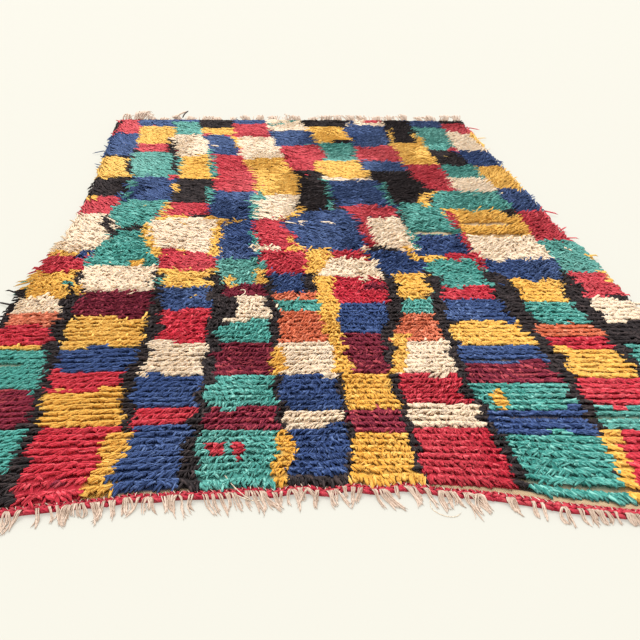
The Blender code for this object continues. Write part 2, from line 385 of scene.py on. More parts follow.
# %% Accents: strips laid over the blocks, each its wool, its lower x and y, its upper x and y, and its width
ACCENTS = (
    ("ochre", -42.4, -9, -42.0, 2.0, 5.2), ("ochre", -43, 2.0, -41.6, 8, 2.8),
    ("ochre", -41.9, 8, -41.3, 14.6, 4.6), ("ochre", -12, -9, -11.6, 13, 3),
    ("ochre", 5.8, -4, 5.8, 2.4, 12.4), ("maroon", -49.8, 0.2, -48.2, 2.2, 2.0),
    ("ochre", 47.1, -12, 47.0, 7, 2.6), ("ochre", 47.8, 7, 48.4, 12.4, 3.5),
    ("ochre", 1.5, 31, 1.5, 47, 3.4), ("ochre", 0.8, 47, 1.2, 75, 4),
    ("ochre", -11.8, 32, -11.8, 42, 3.2), ("ochre", 13, 31.5, 16.3, 46.5, 3.2),
    ("ochre", 31.9, 19.6, 31.9, 24.8, 3), ("red", -24.3, 6.5, -24.3, 10.5, 2.1),
    ("red", -20.1, 6, -20.4, 10.8, 2.6), ("black", -2.5, 66, -2.5, 77, 3.4),
    ("maroon", 13.5, 67, 14, 72, 5), ("black", -77, 49, -76, 71, 7),
    ("green", -75.5, 68, -74.5, 75, 2.6), ("green", -63, 70.5, -63, 73, 2),
    ("blue", -63.5, 86, -62, 91, 3.5), ("ochre", -48.5, 81, -48, 84.5, 4),
    ("ochre", -60, 66, -61, 73, 1.4), ("green", -40.5, 70.5, -40, 76, 2),
    ("ochre", -15, 71, -14.8, 80, 2.4), ("black", -23.4, 54, -22, 64.5, 4.6),
    ("ochre", -22, 70, -23, 75, 1.6), ("green", -16, 85, -16.4, 104, 1.4), ("ochre", -1, 77, 1, 92, 5),
    ("red", 9.5, 84.5, 9.5, 90, 9), ("red", 16, 90, 16, 115, 2.8), ("black", 19, 90, 19, 92.5, 8),
    ("ochre", 27, 84, 25.5, 93, 2.8), ("red", 41, 83.5, 40.5, 88.5, 9.5),
    ("green", 29, 91, 29.5, 104, 1.8), ("red", 43.6, 78, 43.4, 85, 1.6),
    ("red", 43.5, 91, 44.2, 119, 2), ("ochre", -42.8, 87, -48.8, 108, 2.6),
    ("ochre", -27.5, 86, -27, 113, 2.4), ("ochre", -26, 109, -20, 112, 4),
    ("black", -57, 101, -61.5, 115, 2.2), ("green", -57.5, 130, -57.5, 148, 1.8),
    ("ochre", -68.5, 130, -68.5, 132, 5), ("black", -59.5, 151, -62, 168, 1.7),
    ("red", -44.5, 146, -44.5, 151, 3), ("ochre", -43.8, 113, -43, 126, 1.6),
    ("ochre", -41, 134, -42.5, 142, 1.4), ("black", -33, 113.5, -33, 116, 5),
    ("green", -30, 126, -31.5, 140, 1.6), ("green", -30.3, 150, -33.4, 182, 1.7),
    ("green", -15, 127, -14.5, 135.5, 4.6), ("green", -16.5, 112, -17, 127, 1.5),
    ("ochre", -7, 113, -1, 122, 2), ("green", 8.2, 120, 8.2, 147, 1.6),
    ("green", 26.8, 124, 26.8, 144, 2), ("ochre", 39, 121, 38.5, 128, 2),
    ("ochre", 38, 127, 43.5, 135.5, 3), ("black", 63.5, 116, 62.5, 120.5, 4.5),
    ("black", 28, 106, 28, 118, 2), ("black", -67, 170.8, -67, 173, 12),
    ("black", -47.5, 175, -49, 195, 2.2), ("black", -43, 153, -46, 175, 2),
    ("ochre", -22.5, 182, -24.5, 200, 1.8), ("red", -21.5, 174, -21.5, 184, 1.4),
    ("green", -5, 215, -5, 219, 2), ("green", -0.5, 218, -0.5, 226, 3), ("green", -8, 212, -8, 216, 2),
    ("black", 18, 188.5, 18, 191.5, 8), ("red", 35, 217, 35.5, 226, 7),
    ("blue", 25.5, 211, 26, 226, 3.4), ("ochre", 38, 190, 41.5, 210, 1.6),
    ("ochre", 49.5, 188, 50, 202, 2), ("red", 61, 178, 61, 183, 4), ("ochre", 76, 185, 76, 205, 6),
    ("black", 47, 60, 47, 72, 4), ("black", -61, 176, -60, 179, 3),
    ("black", -74.5, 204, -74, 219, 3.6), ("blue", -73, 150, -72, 166, 2.2),
    ("cream", -13.5, 90.5, -13.5, 92.8, 7), ("ochre", -6, 90.3, -4.8, 93.4, 4.5),
    ("ochre", -3.2, 92, -6, 99, 1.5), ("cream", -2.6, 109.4, -2.6, 110.8, 2.2),
    ("cream", 5.4, 109.2, 5.2, 110.6, 3.2), ("black", 74.6, 59.5, 73.6, 64, 5),
    ("ochre", 76.2, 69.5, 76.2, 77.5, 2.6), ("ochre", 76.4, 84, 76.4, 88, 2.4),
)

print(len(ACCENTS), "accents")

# %% [markdown]
# ## From chart to knot
#
# To find a knot's wool, its place is first nudged by soft drift, so that no block has a ruled
# edge, and by a small step that is the same along a whole row, as when a weaver changes wool
# one warp early or late. Then its column and its block are looked up.

# %% Wool at any place
EDGE_DRIFT_X = (0.005, 0.09, 21)
EDGE_DRIFT_Y = (0.005, 0.09, 22)
BLACK_DRIFT = (0.35, 0.05, 23)
ROW_STEP = 0.0045
STEP_SEED = 5
MOST_ROWS = 400
ROW_PITCH = 0.017


def line_x(name, y):
    heights, xs = COLUMN_LINES[name]
    return np.interp(y, np.array(heights) * CENTIMETRE, np.array(xs) * CENTIMETRE)


def nudged(x, y, row):
    """The place that the chart is read at: a knot's own place with soft drift and its row's step."""
    steps = np.random.default_rng(STEP_SEED).uniform(-ROW_STEP, ROW_STEP, MOST_ROWS)
    x = x + drift(x, y, *EDGE_DRIFT_X) + steps[row]
    y = y + drift(x, y, *EDGE_DRIFT_Y)
    return x, y


def block_wool(x, y, up):
    """The wool of the column's block at each place, before the black lines and the accents."""
    column = np.zeros(x.shape, int)
    for name in COLUMN_LINES:
        column += x > line_x(name, y)
    wool = np.zeros(x.shape, int)
    for number, blocks in enumerate(COLUMNS.values()):
        words = blocks.split()
        tops = np.array([float(w) for w in words[1::2]]) * CENTIMETRE
        wools = np.array([WOOLS.index(w) for w in words[0::2]])
        here = column == number
        wool[here] = wools[np.minimum(np.searchsorted(tops, up[here]), len(tops) - 1)]
    return wool


def chart(x, up, row):
    """The number of the wool at each place, given by its x, its distance up the warps and its row."""
    x, y = nudged(x, warp_y(x, up), row)
    wool = block_wool(x, y, up + drift(x, y, *EDGE_DRIFT_Y))
    for name, widths in BLACK_LINES.items():
        width = np.interp(y, BLACK_HEIGHTS, np.array(widths) * MILLIMETRE)
        width = width * (1 - fade(y, *BLACK_FADES)) * (1 + drift(x, y, *BLACK_DRIFT))
        wool[np.abs(x - line_x(name, y)) < width / 2] = BLACK
    for name, low_x, low_y, high_x, high_y, width in ACCENTS:
        share = (y / CENTIMETRE - low_y) / (high_y - low_y)
        aside = np.abs(x / CENTIMETRE - low_x - (high_x - low_x) * share)
        wool[(share > 0) & (share < 1) & (aside < width / 2)] = WOOLS.index(name)
    return wool


middle = chart(np.array([0.0]), np.array([1.0]), np.array([0]))[0]
print("the wool at the rug's middle:", WOOLS[middle])

# %% [markdown]
# ## Making meshes from arrays
#
# The pile has tens of thousands of ends, so no loop may run over them. A strand is a tube: a
# centre line of a few points and a ring of three or four corners round each. All strands are
# worked out together as arrays with one row for each strand, and the faces are one pattern
# repeated for all of them.

# %% Mesh helper
def mesh_piece(name, points, corners, counts, material, attributes=(), uv=None):
    """One object from arrays: points, then each face's corners in turn and how many corners it has."""
    mesh = bpy.data.meshes.new(name)
    mesh.vertices.add(len(points))
    mesh.vertices.foreach_set("co", (points + ZERO).astype(np.float32).ravel())
    mesh.loops.add(len(corners))
    mesh.loops.foreach_set("vertex_index", corners.astype(np.int32))
    mesh.polygons.add(len(counts))
    starts = np.cumsum(counts) - counts
    mesh.polygons.foreach_set("loop_start", starts.astype(np.int32))
    for label, values in attributes:
        colour = np.ones((len(points), 4), np.float32)
        colour[:, :3] = values
        mesh.attributes.new(label, "FLOAT_COLOR", "POINT").data.foreach_set("color", colour.ravel())
    if uv is not None:
        layer = mesh.uv_layers.new(name="along")
        layer.data.foreach_set("uv", uv[corners].astype(np.float32).ravel())
    mesh.update(calc_edges=True)
    mesh.validate()
    mesh.shade_smooth()
    mesh.materials.append(material)
    return new_object(name, mesh)


# %% Strand helper
def strand_faces(rings, sides):
    """The corners of one tube's faces in turn, and how many corners each face has."""
    around = 1 + np.arange(sides)
    after = 1 + (np.arange(sides) + 1) % sides
    tip = (rings - 2) * sides + 1
    last = (rings - 3) * sides
    roots = np.stack([np.zeros(sides, int), around, after], 1)
    tips = np.stack([last + around, np.full(sides, tip), last + after], 1)
    step = sides * np.arange(rings - 3)[:, None]
    low, low_after = step + around, step + after
    quads = np.stack([low, low + sides, low_after + sides, low_after], -1).reshape(-1, 4)
    counts = np.concatenate([np.full(sides, 3), np.full(len(quads), 4), np.full(sides, 3)])
    return np.concatenate([roots.ravel(), quads.ravel(), tips.ravel()]), counts


def strand_arrays(path, radius, sides, across):
    """Points and faces of many closed tubes with a point at both ends.

    path is (strands, rings, 3), radius is (strands, rings) and across is a unit vector for
    each strand or for each ring, about square to its way. A ring's corner is its centre plus
    radius times the cosine of its angle across and the sine along the line's own normal.
    """
    strands, rings, _ = path.shape
    tangent = np.gradient(path, axis=1)
    tangent /= np.linalg.norm(tangent, axis=2, keepdims=True)
    side = across if across.ndim == 3 else np.repeat(across[:, None, :], rings, axis=1)
    normal = np.cross(side, tangent)
    normal /= np.linalg.norm(normal, axis=2, keepdims=True)
    angle = 2 * np.pi * (np.arange(sides) + 0.5) / sides
    ring = radius[:, :, None, None] * (
        np.cos(angle)[:, None] * side[:, :, None, :] + np.sin(angle)[:, None] * normal[:, :, None, :]
    )
    tube = path[:, 1:-1, None, :] + ring[:, 1:-1]
    points = np.concatenate([path[:, :1], tube.reshape(strands, -1, 3), path[:, -1:]], axis=1)
    pattern, counts = strand_faces(rings, sides)
    each = points.shape[1]
    corners = (pattern[None, :] + each * np.arange(strands)[:, None]).ravel()
    return points.reshape(-1, 3), corners, np.tile(counts, strands), each


def strand_uv(strands, rings, sides, lengths):
    """A UV for each point: u is the share round the strand, and v is the distance along it in metres."""
    inner = np.repeat(np.linspace(0, 1, rings)[1:-1], sides)
    u = np.concatenate([[0.5], np.tile((np.arange(sides) + 0.5) / sides, rings - 2), [0.5]])
    v = np.concatenate([[0.0], inner, [1.0]])
    return np.stack([np.tile(u, strands), (v[None, :] * lengths[:, None]).ravel()], 1), v


def path_lengths(path):
    """The length of each centre line."""
    return np.linalg.norm(np.diff(path, axis=1), axis=2).sum(1)


def strand_piece(name, look, strands, sides, across, own, shade, bleached, lengths=None):
    """One joined piece of closed strands, given as their centre lines and radii.

    Each strand is painted with its own chance, a shade from its root to its tip, and how bleached it is.
    """
    path, radius = strands
    points, corners, counts, each = strand_arrays(path, radius, sides, across)
    lengths = path_lengths(path) if lengths is None else lengths
    uv, along = strand_uv(len(path), path.shape[1], sides, lengths)
    tint = np.stack([
        np.repeat(own, each), np.tile(mix(*shade, along), len(path)), np.repeat(bleached, each),
    ], 1)
    return mesh_piece(name, points, corners, counts, look, [("tint", tint)], uv)


print("a strand of 4 rings and 3 sides has", len(strand_faces(4, 3)[1]), "faces")

# %% [markdown]
# ## Wool that looks like wool
#
# Dyed wool is never one flat colour. Each knot took the dye a little differently, the tips
# have faded, and the roots lie in shade. Three numbers painted on every strand carry that:
# its own chance, how far along it a point is, and how much the sun has bleached that part of
# the rug. The material mixes a deep, a full and a faded tone by them, with painted shade at the
# roots, and adds the yarn's twist as stripes of painted shade and highlight and as a bump that
# follow the strand's own UV. Its palest fibre streaks are painted highlights.

# %% Wool materials
# Each wool's deep, full and faded tones: the deep one also gives the painted shade, and the faded one also
# the painted highlights
WOOL_TONES = {
    "black": ((0.020, 0.016, 0.017), (0.044, 0.036, 0.037), (0.095, 0.066, 0.062)),
    "red": ((0.290, 0.007, 0.019), (0.750, 0.042, 0.070), (0.800, 0.185, 0.195)),
    "blue": ((0.011, 0.022, 0.073), (0.064, 0.113, 0.290), (0.160, 0.228, 0.395)),
    "green": ((0.022, 0.150, 0.128), (0.125, 0.475, 0.405), (0.340, 0.620, 0.540)),
    "ochre": ((0.660, 0.300, 0.042), (0.850, 0.480, 0.098), (0.920, 0.620, 0.200)),
    "cream": ((0.730, 0.530, 0.355), (0.785, 0.588, 0.412), (0.800, 0.622, 0.458)),
    "maroon": ((0.085, 0.009, 0.021), (0.320, 0.038, 0.068), (0.580, 0.100, 0.110)),
    "coral": ((0.420, 0.070, 0.026), (0.790, 0.210, 0.105), (0.860, 0.380, 0.250)),
}
# Painted shade on the bed between the rows and in the shag: the share of its wool's tone that it keeps
# there, for each wool in turn
GAP_SHADES = (0.50, 0.30, 0.22, 0.32, 0.72, 0.95, 0.40, 0.45)
# What the neat rows' gaps get back of that painted shade
NEAT_GAP_ADDED = 0.30
MOST_SHADE = 0.92
UNDYED_TONES = ((0.220, 0.140, 0.095), (0.480, 0.345, 0.260), (0.750, 0.600, 0.490))
GROUND_TONE = (0.560, 0.400, 0.240)
PLY_PITCH = 0.022
PLIES = 2
PLY_BUMP = 0.0010
UNDYED_PITCH, UNDYED_BUMP = 0.016, 0.0003
BUMP_STRENGTH = 0.7
STREAKS_ROUND = 6.0
STREAKS_A_METRE = 50.0
STREAK_DETAIL = 2.0
# How far apart the strands' places in the noise are
STREAK_PLACES = 70.0
# How much a strand's own chance and its ply stripes, which are painted shade and highlight of the plies,
# take its tone from deep to full
OWN_TONE = 0.55
PLY_TONE = 0.18
# Ramps, each from two values to two others: the painted shade from the root to the tip, the painted
# highlight and shade along the fibre streaks, how much of the bleaching shows on the way to the tip, and the
# painted highlight of the palest streaks, mixed to the faded tone
TIP_TONE = (0.0, 1.0, -0.25, 0.55)
STREAK_TONE = (0.3, 0.7, -0.45, 0.50)
TIP_FADED = (0.2, 1.0, 0.3, 1.0)
STREAK_FADED = (0.53, 0.70, 0.0, 0.55)
WOOL_FINISH = {
    "Roughness": 0.88,
    "Specular IOR Level": 0.08,
    "Sheen Weight": 0.10,
    "Sheen Roughness": 0.5,
    "Subsurface Radius": (0.006, 0.005, 0.004),
    "Subsurface Scale": 1.0,
}
# Black wool has less sheen, and cream wool lets some light through, which softens the shadows in it
OWN_FINISH = {"black": {"Sheen Weight": 0.02}, "cream": {"Subsurface Weight": 0.35}}
# How many times paler than the faded tone the sheen is
SHEEN_PALER = 1.3


def feed(tree, socket, value):
    """Links a socket to the one that is given, or sets it to the constant that is given."""
    if isinstance(value, bpy.types.NodeSocket):
        tree.links.new(value, socket)
    else:
        socket.default_value = value


def add_node(tree, kind, *inputs, **sockets):
    """A shader node with its first inputs fed in turn, and others by name."""
    node = tree.nodes.new(kind)
    for socket, value in zip(node.inputs, inputs):
        feed(tree, socket, value)
    for name, value in sockets.items():
        feed(tree, node.inputs[name], value)
    return node


def maths(tree, operation, first, second=0.0):
    node = add_node(tree, "ShaderNodeMath", first, second)
    node.operation = operation
    return node.outputs[0]


def sum_of(tree, first, *others):
    for other in others:
        first = maths(tree, "ADD", first, other)
    return first


def mix_colour(tree, share, first, second, blend="MIX"):
    node = tree.nodes.new("ShaderNodeMix")
    node.data_type = "RGBA"
    node.blend_type = blend
    feed(tree, node.inputs["Factor"], share)
    for socket, value in zip([s for s in node.inputs if s.type == "RGBA"], (first, second)):
        feed(tree, socket, value)
    return [s for s in node.outputs if s.type == "RGBA"][0]


def ramp(tree, value, from_low, from_high, to_low, to_high):
    return add_node(tree, "ShaderNodeMapRange", value, from_low, from_high, to_low, to_high).outputs[0]


def noise(tree, place, scale, detail):
    return add_node(tree, "ShaderNodeTexNoise", Vector=place, Scale=scale, Detail=detail).outputs[0]


def painted(tree, layer):
    """The colour that is painted on the piece's points under this name."""
    node = add_node(tree, "ShaderNodeVertexColor")
    node.layer_name = layer
    return node.outputs[0]


def raised(tree, shader, height, strength, distance):
    """A bump on the shader from a height in its tree."""
    bump = add_node(tree, "ShaderNodeBump", Strength=strength, Distance=distance, Height=height)
    tree.links.new(bump.outputs[0], shader.inputs["Normal"])


def strand_place(tree):
    """The share round the strand and the distance along it, from its UV."""
    uv = add_node(tree, "ShaderNodeUVMap")
    uv.uv_map = "along"
    return add_node(tree, "ShaderNodeSeparateXYZ", Vector=uv.outputs[0]).outputs[:2]


def ply_twist(tree, pitch):
    """A wave from -1 to 1 for the plies, which wind round the strand once in each pitch."""
    around, along = strand_place(tree)
    turned = maths(tree, "ADD", around, maths(tree, "DIVIDE", along, pitch))
    return maths(tree, "SINE", maths(tree, "MULTIPLY", turned, 2 * math.pi * PLIES))


def fibre_streaks(tree, own):
    """Noise drawn out along the strand, and moved to another place for each strand."""
    around, along = strand_place(tree)
    place = add_node(
        tree, "ShaderNodeCombineXYZ",
        X=maths(tree, "MULTIPLY", around, STREAKS_ROUND),
        Y=maths(tree, "MULTIPLY", along, STREAKS_A_METRE),
        Z=maths(tree, "MULTIPLY", own, STREAK_PLACES),
    )
    return noise(tree, place.outputs[0], 1.0, STREAK_DETAIL)


def wool_material(name, tones, own_finish=None, pitch=PLY_PITCH, bump=PLY_BUMP):
    """Wool: deep, full and faded tones mixed by the strand's painted numbers, with painted shade at the root
    and painted highlight and shade on ply stripes and fibre streaks.
    """
    deep, full, faded = ((*tone, 1.0) for tone in tones)
    sheen_tint = {"Sheen Tint": [min(1.0, SHEEN_PALER * tone) for tone in faded]}
    material, shader = new_look(name, WOOL_FINISH | sheen_tint | (own_finish or {}))
    tree = material.node_tree
    own, along, bleached = add_node(tree, "ShaderNodeSeparateColor", Color=painted(tree, "tint")).outputs
    fibre = fibre_streaks(tree, own)
    twist = ply_twist(tree, pitch)
    # From deep to full: the strand's own tone, and painted shade at the root, on the ply stripes and along
    # the fibre streaks
    dye_and_shade = sum_of(
        tree, maths(tree, "MULTIPLY", own, OWN_TONE), ramp(tree, along, *TIP_TONE),
        maths(tree, "MULTIPLY", twist, PLY_TONE), ramp(tree, fibre, *STREAK_TONE),
    )
    # Towards the faded tone: real bleaching, most at the tip, and painted highlights on the palest fibre
    # streaks
    sunned = maths(tree, "MULTIPLY", bleached, ramp(tree, along, *TIP_FADED))
    pale = sum_of(tree, sunned, ramp(tree, fibre, *STREAK_FADED))
    colour = mix_colour(tree, pale, mix_colour(tree, dye_and_shade, deep, full), faded)
    tree.links.new(colour, shader.inputs["Base Color"])
    raised(tree, shader, twist, BUMP_STRENGTH, bump)
    return material


wool_looks = {
    name: wool_material("wool_" + name, tones, OWN_FINISH.get(name)) for name, tones in WOOL_TONES.items()
}
undyed = wool_material("wool_undyed", UNDYED_TONES, pitch=UNDYED_PITCH, bump=UNDYED_BUMP)
print(len(wool_looks) + 1, "wool materials")

# %% [markdown]
# ## The woven ground
#
# Under the pile is a plain weave of undyed wool, and on it stand the roots of the knots, row
# by row. One closed sheet stands for both: low between the rows, higher along each row where
# the roots are packed. It hardly shows: a narrow strip at the near hem, and a thin pale line
# where the pile parts. Elsewhere it only keeps light from falling between the strands, and
# there it has the colour of the wool above it, darkened as painted shade, most between the rows.

# %% Ground sheet
FAR_STRIP = 0.010
FAR_FLAT = 0.006
ROWS = int((FAR_END - HEM_STRIP - FAR_STRIP) / ROW_PITCH)
GROUND_THICK = 0.0035
ROOT_RIDGE = 0.0085
# How much of that height the neat rows keep between them, how far the shag evens the ridges, and its bed
NEAT_FILL = 0.78
RIDGE_EVENED = 0.5
SHAG_BED = 0.0044
BED_DRIFT = (0.25, 0.05, 38)
RIM_FALL = 0.009
# The share of its height that the bed keeps at the hem
HEM_BED = 0.4
GROUND_CELLS_ACROSS = 110
GROUND_CELLS_A_ROW = 2
# The share of its wool's tone that the bed keeps on the neat rows' ridges, a lighter painted shade
RIDGE_SHADE = 0.80
# Right of the first x and then of the second, the cloth below the first row is bare up to the last of these
BARE_X = (0.12, 0.30)
BARE_UP = (0.0035, 0.0050, 0.0065)
# The shag comes in between these heights on the plan, and wanders
SHAG_Y = (0.30, 1.25)
SHAG_DRIFT = (0.15, 0.3, 33)
# Each parting: the number of rows below it, from and to which x, and how deep it is
PARTINGS = (
    (64, 0.48, 0.61, 0.9), (60, 0.32, 0.42, 0.9), (59, 0.47, 0.61, 1.0),
    (10, 0.31, 0.66, 0.7), (21, 0.28, 0.38, 0.7), (1, 0.29, 0.66, 0.9), (21, -0.70, -0.65, 0.8),
)
PARTING_END = 0.03
PARTING_WIDTH = 0.008
# How much wider a parting is in the shag, on its far side and on its near side, where the pile lies flat
PARTING_WIDER = (0.005, 0.020)
# The cloth shows bare where a parting is deep: the gain, what is taken off, and up to how many widths away
BARE_GAIN, BARE_OFF, BARE_WIDTHS = 1.6, 0.25, 1.2


def parted(x, up):
    """How much the pile is parted at each place, and how far it is above or below the parting's line."""
    amount = np.zeros(x.shape)
    above = np.zeros(x.shape)
    for rows_below, start, stop, depth in PARTINGS:
        line = HEM_STRIP + ROW_PITCH * rows_below
        along = fade(x, start - PARTING_END, start) * (1 - fade(x, stop, stop + PARTING_END))
        wider = np.where(up > line, *PARTING_WIDER) * fade(line, *SHAG_Y)
        near = along * depth * np.exp(-((up - line) / (PARTING_WIDTH + wider)) ** 2)
        here = near > amount
        amount = np.where(here, near, amount)
        above = np.where(here, up - line, above)
    return amount, above


def shagginess(x, y):
    """0 where the rows stand neat, 1 where the ends fall about, with drift between."""
    return np.clip(fade(y, *SHAG_Y) + drift(x, y, *SHAG_DRIFT), 0, 1)


def ground_places():
    """The ground's grid as x, distance up the warps, and each point's phase along its row from 0 to 1."""
    hem = [0.0, HEM_STRIP / 2, HEM_STRIP, *BARE_UP]
    steps = HEM_STRIP + ROW_PITCH * np.arange(0, ROWS, 1 / GROUND_CELLS_A_ROW)
    up = np.concatenate([hem, steps[1:], [FAR_END - FAR_FLAT, FAR_END]])
    share, up = np.meshgrid(np.linspace(0, 1, GROUND_CELLS_ACROSS + 1), up)
    return across_cloth(share, up), up, ((up - HEM_STRIP) / ROW_PITCH) % 1.0


def bed_height(x, y, up, phase):
    """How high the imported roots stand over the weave: a ridge along each row, evened out by the shag."""
    shag = shagginess(x, y)
    ridge = np.sin(np.pi * phase) ** 2
    ridge = ridge * (1 - RIDGE_EVENED * shag) + NEAT_FILL * (1 - ridge) * (1 - shag)
    height = (ROOT_RIDGE * ridge + SHAG_BED * shag) * (1 + drift(x, y, *BED_DRIFT))
    height = height * np.clip(from_edge(x, up) / RIM_FALL, 0, 1)
    height = height * np.clip((up - HEM_STRIP) / ROW_PITCH, HEM_BED, 1)
    knotted = (up >= HEM_STRIP) & (up < FAR_END - FAR_STRIP)
    return np.maximum(height * knotted * (1 - parted(x, up)[0]), 0)


def ground_colours(x, y, up, phase):
    """Each point's wool, with painted shade between the rows and in the shag, and the bare weave in partings
    and at both ends.
    """
    tones = np.array([WOOL_TONES[name][1] for name in WOOLS])
    row = np.clip(((up - HEM_STRIP) / ROW_PITCH).astype(int), 0, ROWS - 1)
    wool = chart(x, up, row)
    neat = 1 - shagginess(x, y)
    gap = np.minimum(np.array(GAP_SHADES)[wool] + NEAT_GAP_ADDED * neat, MOST_SHADE)
    shade = mix(gap, RIDGE_SHADE, np.sin(np.pi * phase) * neat)
    amount, above = parted(x, up)
    bare = np.clip(amount * BARE_GAIN - BARE_OFF, 0, 1) * (np.abs(above) < BARE_WIDTHS * PARTING_WIDTH)
    low = mix(HEM_STRIP, BARE_UP[-1], fade(x, *BARE_X))
    bare = np.maximum(bare, (up < low) | (up > FAR_END - FAR_STRIP))
    return mix(tones[wool] * shade[..., None], np.array(GROUND_TONE), bare[..., None])


def sheet_faces(rows, columns):
    """Faces of a closed sheet: a grid on top, walls round the rim and one flat face below."""
    number = np.arange(rows * columns).reshape(rows, columns)
    rim = np.concatenate([number[0, :-1], number[:-1, -1], number[-1, :0:-1], number[:0:-1, 0]])
    below = rows * columns + np.arange(len(rim))
    quads = np.stack([number[:-1, :-1], number[:-1, 1:], number[1:, 1:], number[1:, :-1]], -1).reshape(-1, 4)
    walls = np.stack([rim, below, np.roll(below, -1), np.roll(rim, -1)], -1)
    corners = np.concatenate([quads.ravel(), walls.ravel(), below[::-1]])
    return rim, corners, np.array([4] * (len(quads) + len(walls)) + [len(rim)])


print("the ground's grid has", ground_places()[0].size, "points")

# %% Woven look
WARP_WAVE = 0.004
WEFT_WAVE = 0.0025
GROUND_FIBRES = 300.0
FIBRE_DETAIL = 3.0
# The ramp from the weave's waves and its fibres to its shade
WEAVE_SHADE = (-1.0, 2.0, 0.55, 1.15)
WEAVE_BUMP = 0.0006
WEAVE_BUMP_STRENGTH = 0.8
WEAVE_FINISH = {"Roughness": 0.95, "Specular IOR Level": 0.15}


def weave_material():
    """Plain weave: the painted colour, with warps across x and wefts across y as two crossed waves."""
    material, shader = new_look("ground_weave", WEAVE_FINISH)
    tree = material.node_tree
    place = add_node(tree, "ShaderNodeTexCoord").outputs["Object"]
    parts = add_node(tree, "ShaderNodeSeparateXYZ", Vector=place).outputs
    waves = [
        maths(tree, "SINE", maths(tree, "MULTIPLY", part, 2 * math.pi / length))
        for part, length in zip(parts, (WARP_WAVE, WEFT_WAVE))
    ]
    weave = maths(tree, "MULTIPLY", *waves)
    fibre = noise(tree, place, GROUND_FIBRES, FIBRE_DETAIL)
    shade = ramp(tree, maths(tree, "ADD", weave, fibre), *WEAVE_SHADE)
    grey = add_node(tree, "ShaderNodeCombineColor", Red=shade, Green=shade, Blue=shade).outputs[0]
    colour = mix_colour(tree, 1.0, painted(tree, "ground"), grey, "MULTIPLY")
    tree.links.new(colour, shader.inputs["Base Color"])
    raised(tree, shader, weave, WEAVE_BUMP_STRENGTH, WEAVE_BUMP)
    return material


def make_ground():
    x, up, phase = ground_places()
    y = warp_y(x, up)
    z = GROUND_THICK + bed_height(x, y, up, phase)
    top = np.stack([x, y, z], -1).reshape(-1, 3)
    rim, corners, counts = sheet_faces(*x.shape)
    points = np.concatenate([top, top[rim] * (1, 1, 0)])
    colour = ground_colours(x, y, up, phase).reshape(-1, 3)
    paint = [("ground", np.concatenate([colour, colour[rim]]))]
    return mesh_piece("ground_cloth", points, corners, counts, weave_material(), paint)


ground = make_ground()
print("ground cloth has", len(ground.data.polygons), "faces and", ROWS, "rows of knots")

# %% [markdown]
# ## The pile
#
# Each knot leaves two ends. In the lower half they stand close and droop over their row, so
# every row of knots shows as a plump ridge with a dark line below it. Further up the rows open:
# some ends lie towards the hem, and the others stand and lean the other way. Their tips gather
# into small locks, as wool does.

# %% Knots and their ends
PILE_SEED = 7
ENDS_A_KNOT = 2
# Knots lie this far apart in the neat part and in the shag, and change over between these heights
PITCH_NEAR, PITCH_FAR = 0.0042, 0.0076
PITCH_WIDENS = (0.40, 1.20)
COUNTED_AT = 0.30
OUTERMOST = (0.002, 0.998)
ROOT_UPHILL = 0.0028
# How far from its row's middle a root may lie, in the neat part and in the shag
SPREAD_NEAR, SPREAD_FAR = 0.0056, 0.0062
# How much nearer to the hem the first row lies in the rug's left part, which ends between these shares
FIRST_ROW_LOWER = 0.0034
FIRST_ROW_LEFT = (0.55, 0.62)
# The rows near the middle of the hem have short thick ends, and those at its sides longer ones
SHORT_MIDDLE = (0.22, 0.42)
SHORT_HEM_Y = (-0.01, 0.04)
SHORT_HEM_X = (0.09, 0.15)


def row_up(row):
    """The distance up the warps of a row's middle."""
    return HEM_STRIP + ROW_PITCH * (row + 0.5)


def knot_places():
    """Every end's share of the width, its row, its place in the row from -1 to 1, and the row's own lean."""
    chance = np.random.default_rng(PILE_SEED)
    rows = np.arange(ROWS)
    pitch = mix(PITCH_NEAR, PITCH_FAR, fade(row_up(rows), *PITCH_WIDENS))
    knots = np.round((right_edge(COUNTED_AT) - left_edge(COUNTED_AT)) / pitch).astype(int)
    in_each = knots * ENDS_A_KNOT
    row = np.repeat(rows, in_each)
    number = np.arange(len(row)) - np.repeat(np.cumsum(in_each) - in_each, in_each)
    share = (number + chance.uniform(0, 1, len(row))) / in_each[row]
    return np.clip(share, *OUTERMOST), row, chance.uniform(-1, 1, len(row)), chance.normal(0, 1, ROWS)[row]


def short_ends(x, y):
    """1 where the neat rows have short thick ends: near the middle line, and at the hem's left part."""
    middle = 1 - fade(np.abs(x), *SHORT_MIDDLE)
    hem = (1 - fade(y, *SHORT_HEM_Y)) * (1 - fade(x, *SHORT_HEM_X))
    return np.maximum(middle, hem)


def place_ends():
    """All the pile's ends as one record: each one's root and row, and how shaggy and wide the row is."""
    share, row, in_row, lean = knot_places()
    loose = fade(row_up(row), *SHAG_Y)
    off_row = ROOT_UPHILL * (1 - loose) + mix(SPREAD_NEAR, SPREAD_FAR, loose) * in_row
    up = row_up(row) + off_row
    up = up - FIRST_ROW_LOWER * (row == 0) * (1 - fade(share, *FIRST_ROW_LEFT))
    x = across_cloth(share, up)
    y = warp_y(x, up)
    return SimpleNamespace(
        x=x, y=y, up=up, row=row, off_row=off_row, lean=lean, count=len(x),
        shag=shagginess(x, y), wide=stretch(x, up), short=short_ends(x, y),
    )


ends = place_ends()
pile_chance = np.random.default_rng(PILE_SEED + 1)
print(ends.count, "ends in", ROWS, "rows")

